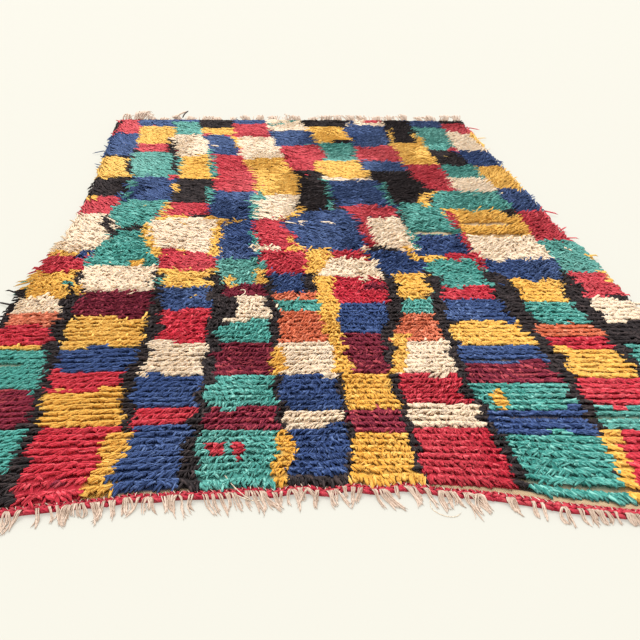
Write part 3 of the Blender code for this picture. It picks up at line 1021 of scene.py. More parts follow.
# %% The first row
# Its ends at a few places along it: what they slant more, and their reach and girth
FIRST_X = (-0.36, -0.24, -0.04, 0.10, 0.17, 0.42)
FIRST_SLANT = (-18, 14, 38, 38, -12, 4)
FIRST_REACH = (1.35, 1.00, 0.86, 0.86, 1.30, 1.10)
FIRST_GIRTH = (1.12, 1.12, 1.18, 1.18, 0.90, 0.88)
# What the rows above the first slant more where the hem runs down on the right
SLANT_HEM_RIGHT = 22
HEM_RIGHT_X = (0.26, 0.36)
HEM_RIGHT_UP = (0.020, 0.110)


def first_row(ends, table, others):
    """What a table of the first row of knots gives at x, and in all other rows the value given."""
    return np.where(ends.up < HEM_STRIP + ROW_PITCH, np.interp(ends.x, FIRST_X, table), others)


def hem_slant(ends):
    """What the lowest rows slant more."""
    right = SLANT_HEM_RIGHT * fade(ends.x, *HEM_RIGHT_X) * (1 - fade(ends.up, *HEM_RIGHT_UP))
    return first_row(ends, FIRST_SLANT, right)


print("the lowest rows slant up to", round(float(hem_slant(ends).max())), "degrees more")

# %% Which way the ends lie
# The way along the row: what x, drift and the row's own lean add to it, and how gradually it changes over
WAY_NEAR, WAY_NEAR_DRIFT, WAY_LEAN = 1.6, (0.40, 0.22, 31), 0.25
WAY_FAR, WAY_FAR_DRIFT = -1.1, (0.50, 0.30, 32)
WAY_SOFT_NEAR, WAY_SOFT_FAR = 0.14, 0.10
# The slant to the hem in degrees in the neat part, and what drift, lean and chance add
SLANT_NEAR, SLANT_SHORT = 10, 34
SLANT_NEAR_DRIFT = (10, 0.10, 39)
SLANT_LEAN = 5
SLANT_CHANCE_NEAR, SLANT_CHANCE_SHORT = 6, 18
# The same in the shag, where it grows to both sides of a line
SLANT_FAR, SLANT_FAR_SIDES = 16, 24
SIDES_MIDDLE = -0.05
SIDES_FROM_MIDDLE = (0.25, 0.75)
SLANT_FAR_DRIFTS = ((13, 0.20, 40), (6, 0.035, 44))
SLANT_CHANCE_FAR = 6


def pile_direction(ends, chance):
    """Each end's level direction.

    An end lies left or right along its row and slants to the hem, and nearly all ends of one
    region slant the same way. In the neat part they lie away from the rug's middle line. In
    the shag they slant to the right on the left side of the rug and to the left on the right.
    """
    x, y, shag = ends.x, ends.y, ends.shag
    neat_way = WAY_NEAR * x + drift(x, y, *WAY_NEAR_DRIFT) + WAY_LEAN * ends.lean
    shag_way = WAY_FAR * x + drift(x, y, *WAY_FAR_DRIFT)
    odds = 1 / (1 + np.exp(-mix(neat_way, shag_way, shag) / mix(WAY_SOFT_NEAR, WAY_SOFT_FAR, shag)))
    side = np.where(chance.uniform(0, 1, ends.count) < odds, 1.0, -1.0)
    neat = mix(SLANT_NEAR, SLANT_SHORT, ends.short) + hem_slant(ends)
    neat = neat + drift(x, y, *SLANT_NEAR_DRIFT) + SLANT_LEAN * ends.lean
    neat = neat + mix(SLANT_CHANCE_NEAR, SLANT_CHANCE_SHORT, ends.short) * chance.normal(0, 1, ends.count)
    loose = SLANT_FAR + SLANT_FAR_SIDES * fade(np.abs(x - SIDES_MIDDLE), *SIDES_FROM_MIDDLE)
    loose = loose + sum(drift(x, y, *wave) for wave in SLANT_FAR_DRIFTS)
    loose = loose + SLANT_CHANCE_FAR * chance.normal(0, 1, ends.count)
    slant = np.radians(mix(neat, loose, shag))
    return side * np.cos(slant), -np.sin(slant)


ends.across, ends.down = pile_direction(ends, pile_chance)
print("share of the ends that lie to the right:", round(float((ends.across > 0).mean()), 2))

# %% Reach and height
REACH_SHORT, REACH_NEAR, REACH_FAR = 0.0112, 0.0180, 0.0410
REACH_CHANCE = (0.8, 1.2)
# The share of their reach that ends keep where their rows are packed close
PACKED_REACH = 0.75
PILE_RISE = 0.0190
RISE_DRIFT, RISE_SHAG_DRIFT = (0.06, 0.14, 34), (0.10, 0.045, 43)
RISE_CHANCE = (0.84, 1.06)
TIP_SHARE = 0.62
TIP_CHANCE = (0.85, 1.15)
# Between the first heights on the plan ends begin to stand, between the others the shag becomes calmer again
SHAG_STANDS = (0.36, 0.72)
COMBED = (0.90, 1.40)
# This share of the shag's ends stands: their reach and the height of their tip, as parts of the others'
STANDING_SHARE = 0.30
STANDING_REACH = 0.60
STANDING_TIP = 1.22
STANDING_TIP_CHANCE = (0.85, 1.12)
# Where the shag is calm, this share fewer of them stand, and their tips are lower by this
COMBED_FEWER = 0.7
COMBED_LOWER = 0.25
# This share of the standing ones points away from the hem, by this much
FLIPPED_SHARE = 0.45
FLIPPED_UP = (0.1, 0.8)


def lay_ends(ends, chance):
    """Every end's reach, its height and its tip's height, as it lies in the open pile."""
    x, y, shag, count = ends.x, ends.y, ends.shag, ends.count
    neat = mix(REACH_NEAR, REACH_SHORT, ends.short) * mix(PACKED_REACH, 1.0, ends.wide)
    neat = neat * first_row(ends, FIRST_REACH, 1.0)
    ends.reach = mix(neat, REACH_FAR, shag) * chance.uniform(*REACH_CHANCE, count)
    ends.rise = PILE_RISE * (1 + drift(x, y, *RISE_DRIFT) + shag * drift(x, y, *RISE_SHAG_DRIFT))
    ends.rise = ends.rise * chance.uniform(*RISE_CHANCE, count)
    ends.tip = ends.rise * TIP_SHARE * chance.uniform(*TIP_CHANCE, count)


def stand_ends(ends, chance):
    """Lets some ends of the shag stand, and some of these point away from the hem."""
    combed = fade(ends.y, *COMBED)
    odds = STANDING_SHARE * fade(ends.y, *SHAG_STANDS) * (1 - COMBED_FEWER * combed)
    ends.standing = chance.uniform(0, 1, ends.count) < odds
    flipped = ends.standing & (chance.uniform(0, 1, ends.count) < FLIPPED_SHARE)
    ends.across = np.where(flipped, -ends.across, ends.across)
    ends.down = np.where(flipped, chance.uniform(*FLIPPED_UP, ends.count), ends.down)
    ends.reach = np.where(ends.standing, ends.reach * STANDING_REACH, ends.reach)
    upright = ends.rise * (STANDING_TIP - COMBED_LOWER * combed)
    upright = upright * chance.uniform(*STANDING_TIP_CHANCE, ends.count)
    ends.tip = np.where(ends.standing, upright, ends.tip)


lay_ends(ends, pile_chance)
stand_ends(ends, pile_chance)
print("ends that stand:", int(ends.standing.sum()))

# %% Partings, rim and far edge
# What a full parting takes off an end's height and off its tip's, in the neat part and in the shag
PARTED_RISE = (0.35, 0.70)
PARTED_TIP = (0.55, 0.80)
# At the rim the ends turn outwards by this share, are tossed about, and lie lower
RIM_WIDTH = 0.016
RIM_OUTWARD = 0.55
RIM_TOSSED = 0.55
RIM_RISE, RIM_TIP = 0.30, 0.60
# They grow in tufts, longer or shorter by a mean and drift within limits, and each is shorter by chance
TUFT_MEAN, TUFT_DRIFT = -0.18, (0.62, 0.030, 42)
TUFT_LIMITS = (-0.6, 0.8)
TUFT_CHANCE = (-0.35, 0.0)
# The left tufts grow longer between the first two of these heights, and shorter between the others
LONG_TUFTS_Y = (0.42, 0.52, 0.70, 0.82)
LONG_TUFTS = 0.75
# What the hem's first row and the far edge take off, and over what distance the far edge does
HEM_RISE = 0.10
FAR_RISE, FAR_TIP = 0.38, 0.45
FAR_OVER = 0.035


def part_ends(ends):
    """Turns the ends beside a parting away from its line and lowers them."""
    amount, above = parted(ends.x, ends.up)
    ends.down = mix(ends.down, np.where(above > 0, 1.0, -1.0), amount)
    ends.rise = ends.rise * (1 - mix(*PARTED_RISE, ends.shag) * amount)
    ends.tip = ends.tip * (1 - mix(*PARTED_TIP, ends.shag) * amount)


def shape_rim(ends, chance):
    """Turns the ends at both long edges outwards, in uneven tufts."""
    rim = np.clip(1 - from_edge(ends.x, ends.up) / RIM_WIDTH, 0, 1)
    ends.across = mix(ends.across, np.where(ends.x < 0, -1.0, 1.0), RIM_OUTWARD * rim)
    ends.down = ends.down + chance.normal(0, RIM_TOSSED, ends.count) * rim
    tufts = np.clip(TUFT_MEAN + drift(ends.x, ends.y, *TUFT_DRIFT), *TUFT_LIMITS)
    grow, shrink = fade(ends.y, *LONG_TUFTS_Y[:2]), fade(ends.y, *LONG_TUFTS_Y[2:])
    tufts = tufts + LONG_TUFTS * (ends.x < 0) * grow * (1 - shrink)
    ends.reach = ends.reach * (1 + rim * (tufts + chance.uniform(*TUFT_CHANCE, ends.count)))
    ends.rise = ends.rise * (1 - RIM_RISE * rim)
    ends.tip = ends.tip * (1 - RIM_TIP * rim)


def lower_edges(ends):
    """Lowers the first row and the rows at the far edge."""
    hem = np.clip(1 - (ends.up - HEM_STRIP) / ROW_PITCH, 0, 1)
    far = np.clip(1 - (FAR_END - FAR_STRIP - ends.up) / FAR_OVER, 0, 1)
    ends.rise = ends.rise * (1 - HEM_RISE * hem) * (1 - FAR_RISE * far)
    ends.tip = ends.tip * (1 - FAR_TIP * far)


part_ends(ends)
shape_rim(ends, pile_chance)
lower_edges(ends)
way = np.hypot(ends.across, ends.down)
ends.across, ends.down = ends.across / way, ends.down / way
print("least, middle and most reach in mm:", (np.percentile(ends.reach, (5, 50, 95)) / MILLIMETRE).round(1))

# %% The wool of each end
# The chart is drawn as the rug is seen, where each end's raised top hides what lies just behind it
SEEN_NEAR, SEEN_FAR = 0.005, 0.0135
SEEN_RISES = (0.15, 0.80)
STRAY_SHARE = 0.012
STRAY_STEP = 0.03


def seen_wool(ends, chance):
    """The wool at the place where an end's middle is seen. A few ends of the shag have strayed."""
    stray = (chance.uniform(0, 1, ends.count) < STRAY_SHARE * ends.shag) * STRAY_STEP
    x = ends.x + ends.across * ends.reach / 2 + stray * chance.normal(0, 1, ends.count)
    up = row_up(ends.row) + mix(SEEN_NEAR, SEEN_FAR, fade(row_up(ends.row), *SEEN_RISES))
    up = np.clip(up + stray * chance.normal(0, 1, ends.count), HEM_STRIP, FAR_END)
    return chart(x, up, ends.row)


ends.wool = seen_wool(ends, pile_chance)
print({name: int((ends.wool == number).sum()) for number, name in enumerate(WOOLS)})

# %% Centre lines
# The four points of an end: how far out each lies, less this taper in the shag, and how much of the bend
# and of the pull to its lock it takes
OUT_SHARE = np.array([0.0, 0.16, 0.84, 1.0])
TAPER_FAR = np.array([0.0, 0.0, -0.12, 0.0])
BENT = np.array([0.0, 0.1, 0.85, 1.0])
DRAWN = np.array([0.0, 0.05, 0.75, 1.0])
# How far an end bends aside, as a part of its reach, and what is added where neat rows pass into shag
BEND, BEND_BETWEEN = 0.10, 0.5
# A neat row is a rope: half its width, and the height of its foot
ROPE_HALF, ROPE_FOOT = 0.0092, 0.0066
# Its tips are tucked under to this share of its height, but for a few
TUCKED, LIFTED, LIFTED_SHARE = 0.52, 0.9, 0.10
# In the shag each point's height has these parts of the end's height and of its tip's, and a lift
LYING = np.array([(0, 0), (0.86, 0), (0.30, 0.70), (0, 1)])
LYING_LIFT = np.array([0.0, 0.0, 0.001, 0.0])
UPRIGHT = np.array([(0, 0), (0.60, 0), (0.15, 0.80), (0, 1)])
STANDING_LOOSE = 0.9
ROOT_HEIGHT = 0.003
LOWEST = 0.0026
# Tips are drawn to the middles of these cells, in the neat part and in the shag, and how much of the way
LOCK_NEAR, LOCK_FAR = 0.009, 0.015
PULL_NEAR, PULL_FAR = 0.22, 0.36
COMBED_PULL = 0.6
# A cell's middle lies by chance within these shares of it, as a table says at a number made from the cell's
LOCK_MIDDLES = (0.2, 0.8)
LOCK_TABLE = 997
LOCK_STEPS = (73, 179)


def rope_height(place, rise):
    """Height of a neat row's top at a place across the row: a parabola from its foot to its crest."""
    return ROPE_FOOT + (rise - ROPE_FOOT) * np.clip(1 - (place / ROPE_HALF) ** 2, 0, 1)


def end_heights(ends, drop, chance):
    """Heights of the four points of every end, mixed from the neat rows' rope and the loose shag."""
    rope = rope_height(ends.off_row[:, None] + drop, ends.rise[:, None])
    tucked = np.where(chance.uniform(0, 1, ends.count) < LIFTED_SHARE, LIFTED, TUCKED)
    whole = np.ones(ends.count)
    neat = rope * np.stack([0 * whole, whole, whole, tucked], 1)
    both = np.stack([ends.rise, ends.tip], 1)[:, None, :]
    standing = ends.standing[:, None]
    loose = np.where(standing, (both * UPRIGHT).sum(2), (both * LYING).sum(2) + LYING_LIFT)
    height = mix(neat, loose, np.maximum(ends.shag[:, None], STANDING_LOOSE * standing))
    height[:, 0] = ROOT_HEIGHT
    return np.maximum(height, LOWEST)


def lock_shift(x, y, shag):
    """How far each tip moves to join its lock: part of the way to the middle that chance gives its cell."""
    size = LOCK_NEAR + (LOCK_FAR - LOCK_NEAR) * np.round(shag)
    across, along = np.floor(x / size).astype(int), np.floor(y / size).astype(int)
    middles = np.random.default_rng(PILE_SEED + 2).uniform(*LOCK_MIDDLES, (2, LOCK_TABLE))
    cell = (across * LOCK_STEPS[0] + along * LOCK_STEPS[1]) % LOCK_TABLE
    to_x = (across + middles[0, cell]) * size - x
    to_y = (along + middles[1, cell]) * size - y
    pull = mix(PULL_NEAR, PULL_FAR, shag)
    return pull * to_x, pull * to_y * shag * (1 - COMBED_PULL * fade(y, *COMBED))


def centre_lines(ends, chance):
    """Four points along every end: out along its way, bent aside, and drawn to its lock."""
    x, y, across, down, shag = (v[:, None] for v in (ends.x, ends.y, ends.across, ends.down, ends.shag))
    bend = chance.normal(0, 1, ends.count) * (BEND + BEND_BETWEEN * ends.shag * (1 - ends.shag)) * ends.reach
    out = ends.reach[:, None] * (OUT_SHARE + TAPER_FAR * shag)
    off = bend[:, None] * BENT
    tip_x, tip_y = ends.x + ends.across * ends.reach, ends.y + ends.down * ends.reach
    lock_x, lock_y = (shift[:, None] * DRAWN for shift in lock_shift(tip_x, tip_y, ends.shag))
    return np.stack([
        x + across * out - down * off + lock_x,
        y + down * out + across * off + lock_y,
        end_heights(ends, down * out / ends.wide[:, None], chance),
    ], -1)


ends.path = centre_lines(ends, pile_chance)
print("pile stands up to", round(float(ends.path[..., 2].max()), 4), "m high")

# %% Girth
RADIUS_SHORT, RADIUS_NEAR, RADIUS_FAR = 0.0031, 0.0032, 0.0022
RADIUS_SHARE = np.array([0.0, 1.05, 0.92, 0.0])
GIRTH_CHANCE = (0.8, 1.2)
# How much thicker the ends of cream wool are, so that less of the shade between them shows
CREAM_THICKER = 0.30


def end_radii(ends, chance):
    """The radius at each point of every end, thicker where the rows lie further apart."""
    neat = mix(RADIUS_NEAR, RADIUS_SHORT, ends.short) * np.sqrt(ends.wide)
    neat = neat * first_row(ends, FIRST_GIRTH, 1.0)
    thick = mix(neat, RADIUS_FAR, ends.shag) * chance.uniform(*GIRTH_CHANCE, ends.count)
    thick = thick * (1 + CREAM_THICKER * (ends.wool == CREAM))
    return thick[:, None] * RADIUS_SHARE


ends.radius = end_radii(ends, pile_chance)
print("ends are about", round(2 * float(np.median(ends.radius.max(1))) / MILLIMETRE, 1), "mm thick")

# %% Tones
# How much the ends are bleached near the hem and at the far end, between which heights, and how it wanders
BLEACHED_NEAR, BLEACHED_FAR = 0.04, 0.30
BLEACHED_Y = (0.4, 2.0)
BLEACHED_DRIFT = (0.18, 0.5, 35)
# Maroon and black wool has bleached flecks: their share, how bleached they are, and what the shag loses
FLECK_SHARE, FLECK_DRIFT = 0.12, (0.12, 0.05, 37)
FLECK_BLEACHED, FLECK_LOST = 0.9, 0.7
# An end's own tone: its mean, its spread, the shag's further spread, and its drift
OWN_MEAN, OWN_SPREAD, OWN_SPREAD_SHAG = 0.84, 0.18, 0.10
OWN_DRIFT = (0.12, 0.06, 36)
# How much deeper it gets for each metre to the right, and how much of that the shag loses
OWN_RIGHT, OWN_RIGHT_LOST = 0.42, 0.6
# The reds are deeper in patches, which are drawn out along the rows
RED_DRIFT, RED_DRAWN_OUT = (0.35, 0.09, 45), 2.2
# Places that the rules on tone name, by the heights on the plan, or the x, between which they come in
TONE_HEIGHTS = {
    "above 18 cm": (0.18, 0.40), "above 20 cm": (0.20, 0.34), "above 25 cm": (0.25, 0.50),
    "above 30 cm": (0.30, 0.50), "past neat": (0.30, 0.60), "shag": (0.35, 0.80),
    "above 75 cm": (0.75, 1.05),
}
TONE_LEFT = (0.3, 0.6)
TONE_RIGHT = (0.20, 0.45)
ALL_WOOLS = tuple(range(len(WOOLS)))
# Each rule: on which wools, how much, and where. Below 0 an end's own tone becomes deeper. The shag's rule
# on all wools is painted shade, and ochre and cream get most of it back
TONE_AND_SHADE_RULES = (
    (ALL_WOOLS, -0.40, "short"), (ALL_WOOLS, -0.58, "shag"), ((OCHRE, CREAM), 0.50, "shag"),
    ((CREAM,), 0.20, "above 25 cm"), ((GREEN,), -0.25, "right"), ((RED,), 1.0, "uneven"),
    ((OCHRE, RED), -0.20, "short"), ((MAROON,), 0.35, "neat"), ((MAROON,), -0.90, "above 20 cm"),
)
BLEACHED_RULES = (
    ((OCHRE, RED), 0.16, "left"), ((CORAL,), 0.40, "left"), ((RED,), 0.16, "above 75 cm"),
    ((OCHRE,), 0.16, "above 18 cm"), ((CREAM,), 0.50, "above 25 cm"),
)


def tone_places(ends):
    """How much each end lies at each place that the rules name."""
    places = {name: fade(ends.y, *heights) for name, heights in TONE_HEIGHTS.items()}
    places["neat"] = 1 - places["past neat"]
    places["short"] = ends.short * places["neat"]
    places["left"] = fade(-ends.x, *TONE_LEFT)
    places["right"] = fade(ends.x, *TONE_RIGHT) * places["neat"]
    places["uneven"] = np.minimum(drift(ends.x, RED_DRAWN_OUT * ends.y, *RED_DRIFT), 0)
    return places


def by_rules(rules, wool, places):
    """The sum of what the rules add, each on its own wools and at its own place."""
    return sum(amount * np.isin(wool, wools) * places[place] for wools, amount, place in rules)


def bleaching(ends, places, chance):
    """How bleached each end is."""
    bleached = mix(BLEACHED_NEAR, BLEACHED_FAR, fade(ends.y, *BLEACHED_Y))
    bleached = bleached + drift(ends.x, ends.y, *BLEACHED_DRIFT)
    bleached = bleached + by_rules(BLEACHED_RULES, ends.wool, places)
    share = FLECK_SHARE + drift(ends.x, ends.y, *FLECK_DRIFT)
    flecks = (chance.uniform(0, 1, ends.count) < share) * FLECK_BLEACHED
    flecks = flecks * (1 - FLECK_LOST * places["above 30 cm"])
    return np.where(np.isin(ends.wool, (MAROON, BLACK)), flecks, np.clip(bleached, 0, 1))


def own_tones_and_shade(ends, places, chance):
    """Each end's own tone, from 0 for deep to 1 for full, with painted shade on the shag's ends."""
    own = chance.normal(OWN_MEAN, OWN_SPREAD, ends.count)
    own = own + OWN_SPREAD_SHAG * ends.shag * chance.normal(0, 1, ends.count)
    own = own + drift(ends.x, ends.y, *OWN_DRIFT) - OWN_RIGHT * ends.x * (1 - OWN_RIGHT_LOST * ends.shag)
    return np.clip(own + by_rules(TONE_AND_SHADE_RULES, ends.wool, places), 0, 1)


places = tone_places(ends)
ends.bleached = bleaching(ends, places, pile_chance)
ends.own = own_tones_and_shade(ends, places, pile_chance)
print("mean tone", ends.own.mean().round(3), "and mean bleaching", ends.bleached.mean().round(3))

# %% One joined piece for each wool
STRAND_SIDES = 3


def make_pile(ends):
    level = np.stack([-ends.down, ends.across, np.zeros(ends.count)], 1)
    pieces = []
    for number, name in enumerate(WOOLS):
        here = ends.wool == number
        strands = ends.path[here], ends.radius[here]
        paint = ends.own[here], (0.0, 1.0), ends.bleached[here]
        look = wool_looks[name]
        pieces.append(strand_piece("pile_" + name, look, strands, STRAND_SIDES, level[here], *paint))
    return pieces


pile = make_pile(ends)
print("pile pieces:", [piece.name for piece in pile])

# %% [markdown]
# ## The twined band
#
# At the hem pairs of red cords are twined round the warps. In each pair the cords change places
# over and under, so what shows is a row of short floats that slant and dive at both ends. Two
# pairs of thinner cords slant against each other, and the lowest pair is thick, with the fringe
# coming out of its gaps. A plain core under each row fills it. Between the upper floats the
# undyed warps show as pale flecks.

# %% Twined cords
BAND_SEED = 41
BAND_END = 0.0025
CORE_STEP = 0.006
CORE_SIDES, FLOAT_SIDES = 5, 6
FLOAT_SHARE = np.array([0.0, 0.10, 0.30, 0.70, 0.90, 1.0])
FLOAT_GIRTH = np.array([0.0, 0.80, 1.0, 1.0, 0.80, 0.0])
# How high a float's ends are, as a share of its crest
FLOAT_FOOT = 0.45
GAP_PITCH, GAP_CHANCE = 0.0225, 0.0050
# Each row: its distance below the hem, the floats' pitch, length, radius, slant in degrees, crest height,
# and at the band's two sides how much further up it lies and how many times thicker it is
THIN_ROWS = (
    (0.0032, 0.0098, 0.0126, 0.0023, -24, 0.0070, 0.0026, 1.10),
    (0.0084, 0.0118, 0.0152, 0.0028, 16, 0.0076, 0.0016, 1.45),
)
THICK_BELOW, THICK_RADIUS, THICK_SLANT, THICK_CREST = 0.0150, 0.0041, -10, 0.0074
# What chance does to the thin floats' place and slant, to the thick ones' slant, and to their girths
THIN_PLACE_CHANCE, THIN_SLANT_CHANCE, THICK_SLANT_CHANCE = 0.0008, 6, 3
THIN_GIRTHS, THICK_GIRTHS = (0.85, 1.15), (0.85, 1.1)
# Between which distances from the middle the band gets thicker, on the right and on the left, and the
# left side's share of it
BAND_WIDENS, BAND_WIDENS_LEFT = (0.14, 0.34), (0.40, 0.66)
LEFT_WIDER = 0.7
# Each core: its distance below the hem, its radius and its height
CORES = ((0.0030, 0.0020, 0.0034), (0.0078, 0.0023, 0.0036), (0.0148, 0.0030, 0.0034))
RED_CORD_PITCH, RED_CORD_BUMP = 0.014, 0.0012
RED_CORD_TONES = ((0.200, 0.006, 0.018), (0.480, 0.024, 0.050), (0.660, 0.150, 0.150))
# The cords' own tone and its drift, the painted shade that darkens them low down and below which height, and
# how bleached they are
CORD_OWN, CORD_OWN_DRIFT = 0.5, (0.25, 0.03, 50)
CORD_LOW_SHADE, CORD_LOW = 0.5, 0.0040
CORD_BLEACHED, CORD_BLEACHED_DRIFT = 0.05, (0.25, 0.02, 51)
CORD_SHADE = 0.75


def along_hem(inset, pitch):
    """Places at an even pitch along the hem, from one inset to the other."""
    return np.arange(left_edge(0.0) + inset, right_edge(0.0) - inset, pitch)


def gap_places():
    """The x of each gap in the thick row, where a group of the fringe comes out."""
    chance = np.random.default_rng(BAND_SEED)
    x = along_hem(BAND_END, GAP_PITCH)
    x[1:] = x[1:] + chance.uniform(-GAP_CHANCE, GAP_CHANCE, len(x) - 1)
    return x


def float_lines(x, below, length, slant, crest):
    """Centre lines of one row of floats: straight and slanting from above, and an arch from the side."""
    turn = np.radians(slant)[:, None]
    along = length[:, None] * (FLOAT_SHARE - 0.5)
    across = x[:, None] + along * np.cos(turn)
    y = hem_point(across, below) + along * np.sin(turn)
    z = crest * mix(FLOAT_FOOT, 1.0, np.sin(np.pi * FLOAT_SHARE))
    return np.stack([across, y, np.broadcast_to(z, y.shape)], -1)


def thin_floats(below, pitch, length, radius, slant, crest, lift, thicker, chance):
    x = along_hem(BAND_END + length / 2, pitch)
    x = x + chance.uniform(-THIN_PLACE_CHANCE, THIN_PLACE_CHANCE, len(x))
    wide = np.maximum(fade(x, *BAND_WIDENS), LEFT_WIDER * fade(-x, *BAND_WIDENS_LEFT))[:, None]
    slant = slant + chance.normal(0, THIN_SLANT_CHANCE, len(x))
    line = float_lines(x, below - lift * wide, np.full(len(x), length), slant, crest)
    return line, radius * mix(1.0, thicker, wide) * chance.uniform(*THIN_GIRTHS, (len(x), 1)) * FLOAT_GIRTH


def thick_floats(chance):
    gaps = gap_places()
    x, length = (gaps[1:] + gaps[:-1]) / 2, np.diff(gaps)
    slant = THICK_SLANT + chance.normal(0, THICK_SLANT_CHANCE, len(x))
    line = float_lines(x, THICK_BELOW, length, slant, THICK_CREST)
    return line, THICK_RADIUS * chance.uniform(*THICK_GIRTHS, (len(x), 1)) * FLOAT_GIRTH


def core_lines():
    x = along_hem(BAND_END, CORE_STEP)
    lines = [np.stack([x, hem_point(x, below), np.full(len(x), height)], 1) for below, _, height in CORES]
    return np.stack(lines), np.stack([np.full(len(x), radius) for _, radius, _ in CORES])


def joined(parts):
    """One set of points, corners and counts from several sets of closed strands."""
    steps = np.cumsum([0] + [len(points) for points, _, _, _ in parts[:-1]])
    points, corners, counts, _ = zip(*parts)
    corners = [part + step for part, step in zip(corners, steps)]
    return np.concatenate(points), np.concatenate(corners), np.concatenate(counts)


def cord_paint(points):
    """The cords' own tone, with painted shade on their low parts, their shade along them and how bleached
    they are, at every point.
    """
    x, y, z = points.T
    # Low down, between and under the floats, the cords are darker as painted shade
    own = CORD_OWN + drift(x, y, *CORD_OWN_DRIFT) - CORD_LOW_SHADE * (z < CORD_LOW)
    bleached = CORD_BLEACHED + drift(x, y, *CORD_BLEACHED_DRIFT)
    return np.stack([np.clip(own, 0, 1), np.full(len(x), CORD_SHADE), np.clip(bleached, 0, 1)], 1)


def make_band():
    chance = np.random.default_rng(BAND_SEED + 1)
    rows = [thin_floats(*row, chance) for row in THIN_ROWS] + [thick_floats(chance), core_lines()]
    parts, uvs = [], []
    for line, radius in rows:
        sides = FLOAT_SIDES if line.shape[1] == len(FLOAT_SHARE) else CORE_SIDES
        parts.append(strand_arrays(line, radius, sides, np.tile([0.0, 1.0, 0.0], (len(line), 1))))
        uvs.append(strand_uv(len(line), line.shape[1], sides, path_lengths(line))[0])
    points, corners, counts = joined(parts)
    look = wool_material("cord_red", RED_CORD_TONES, pitch=RED_CORD_PITCH, bump=RED_CORD_BUMP)
    paint = [("tint", cord_paint(points))]
    return mesh_piece("twined_cords", points, corners, counts, look, paint, np.concatenate(uvs))


band = make_band()
print("band:", len(band.data.polygons), "faces and", len(gap_places()), "gaps")

# %% Warps that show between the twists
WARP_PITCH, WARP_INSET = 0.0125, 0.006
WARP_RADIUS = 0.0009
WARP_GIRTH = np.array([0.0, 1.0, 1.0, 0.0])
WARP_BELOW = np.array([-0.0030, 0.0005, 0.0064, 0.0116])
WARP_HEIGHTS = np.array([0.0036, 0.0088, 0.0100, 0.0040])
# The point below the hem that a warp leans about, and its lean's mean and spread
WARP_MIDDLE, WARP_LEAN = 0.005, (0.25, 0.50)
WARP_PLACES, WARP_LIFTS, WARP_GIRTHS = (-0.0012, 0.0012), (-0.0012, 0.0006), (0.6, 1.2)
WARP_OWN, WARP_SHADE, WARP_BLEACHED = (0.3, 0.9), 0.8, (0.2, 0.9)
# The twist of their yarn is worked out as if each were this long
WARP_LENGTH = 0.016


def make_band_warps():
    """Short closed strands across the upper cords, just below the tops of their twists."""
    chance = np.random.default_rng(BAND_SEED + 20)
    x = along_hem(WARP_INSET, WARP_PITCH)
    count = len(x)
    x = x + chance.uniform(*WARP_PLACES, count)
    lean = chance.normal(*WARP_LEAN, count)
    across = x[:, None] + lean[:, None] * (WARP_BELOW - WARP_MIDDLE)
    height = WARP_HEIGHTS + chance.uniform(*WARP_LIFTS, (count, 1))
    path = np.stack([across, hem_point(across, WARP_BELOW), height], -1)
    radius = WARP_RADIUS * chance.uniform(*WARP_GIRTHS, (count, 1)) * WARP_GIRTH
    paint = chance.uniform(*WARP_OWN, count), (WARP_SHADE, WARP_SHADE), chance.uniform(*WARP_BLEACHED, count)
    across = np.tile([1.0, 0.0, 0.0], (count, 1))
    lengths = np.full(count, WARP_LENGTH)
    return strand_piece("band_warps", undyed, (path, radius), STRAND_SIDES, across, *paint, lengths)


band_warps = make_band_warps()
print("band warps have", len(band_warps.data.polygons), "faces")

# %% [markdown]
# ## The fringes
#
# The warps that are left over come out at the gaps of the thick pair in tight bundles, which
# taper to loose tips. Most lean the same way as their neighbours, some part into two legs like
# a small arch, and they cross one another. At the far end the warps were cut short and stick
# out unevenly in clumps.

# %% Near fringe
FRINGE_SEED = 51
YARNS_A_LEG = 5
YARN_RADIUS = 0.00122
YARN_RINGS, YARN_SIDES = 9, 4
# A yarn's shade at its root and at its tip
YARN_SHADE = (0.4, 1.0)
LEG_LENGTHS = (0.020, 0.048)
# From the first x to the second the fringe thins out, to these shares of its length and its groups
SPARSE_X = (0.19, 0.33)
SPARSE_LENGTH, SPARSE_GROUPS = 0.80, 0.50
# Shares of the gaps with more than one leg and with more than two, and how far the legs start beside the gap
TWO_LEGS, THREE_LEGS = 0.80, 0.42
LEG_BESIDE = 0.0065
FORKED_SHARE = 0.45
# How far aside the legs slant for each metre of length: all of them, those further right, and what chance
# adds for a group and for a leg
SLANT_ALL, SLANT_RIGHT, SLANT_RIGHT_X = 0.12, 0.26, (-0.05, 0.10)
SLANT_GROUP, SLANT_LEG = 0.26, 0.22
LEG_CHANCE = (0.60, 1.1)
# How far below the hem the yarns start, and the band ends
FRINGE_START, BAND_EDGE = 0.0100, 0.0190
# A forked leg's arch: how wide it is, over which part of the leg it opens, and how much of it closes again
ARCH_WIDTHS, ARCH_OPENS, ARCH_CLOSES = (0.0035, 0.0075), (0, 0.38), 0.35
# How far a leg and a yarn bow aside, how far a yarn starts beside its leg's middle and how much of that
# it gives up, and how far its tip splays
BOW_LEG, BOW_YARN = 0.0045, 0.0026
YARN_BESIDE, DRAWN_TOGETHER, BESIDE_OPENS = 0.0040, 0.72, (-0.30, 0.20)
SPLAY, SPLAY_FREEDOM = 0.0016, 3
FRINGE_INSET = 0.003
YARN_LENGTHS = (0.62, 1.06)
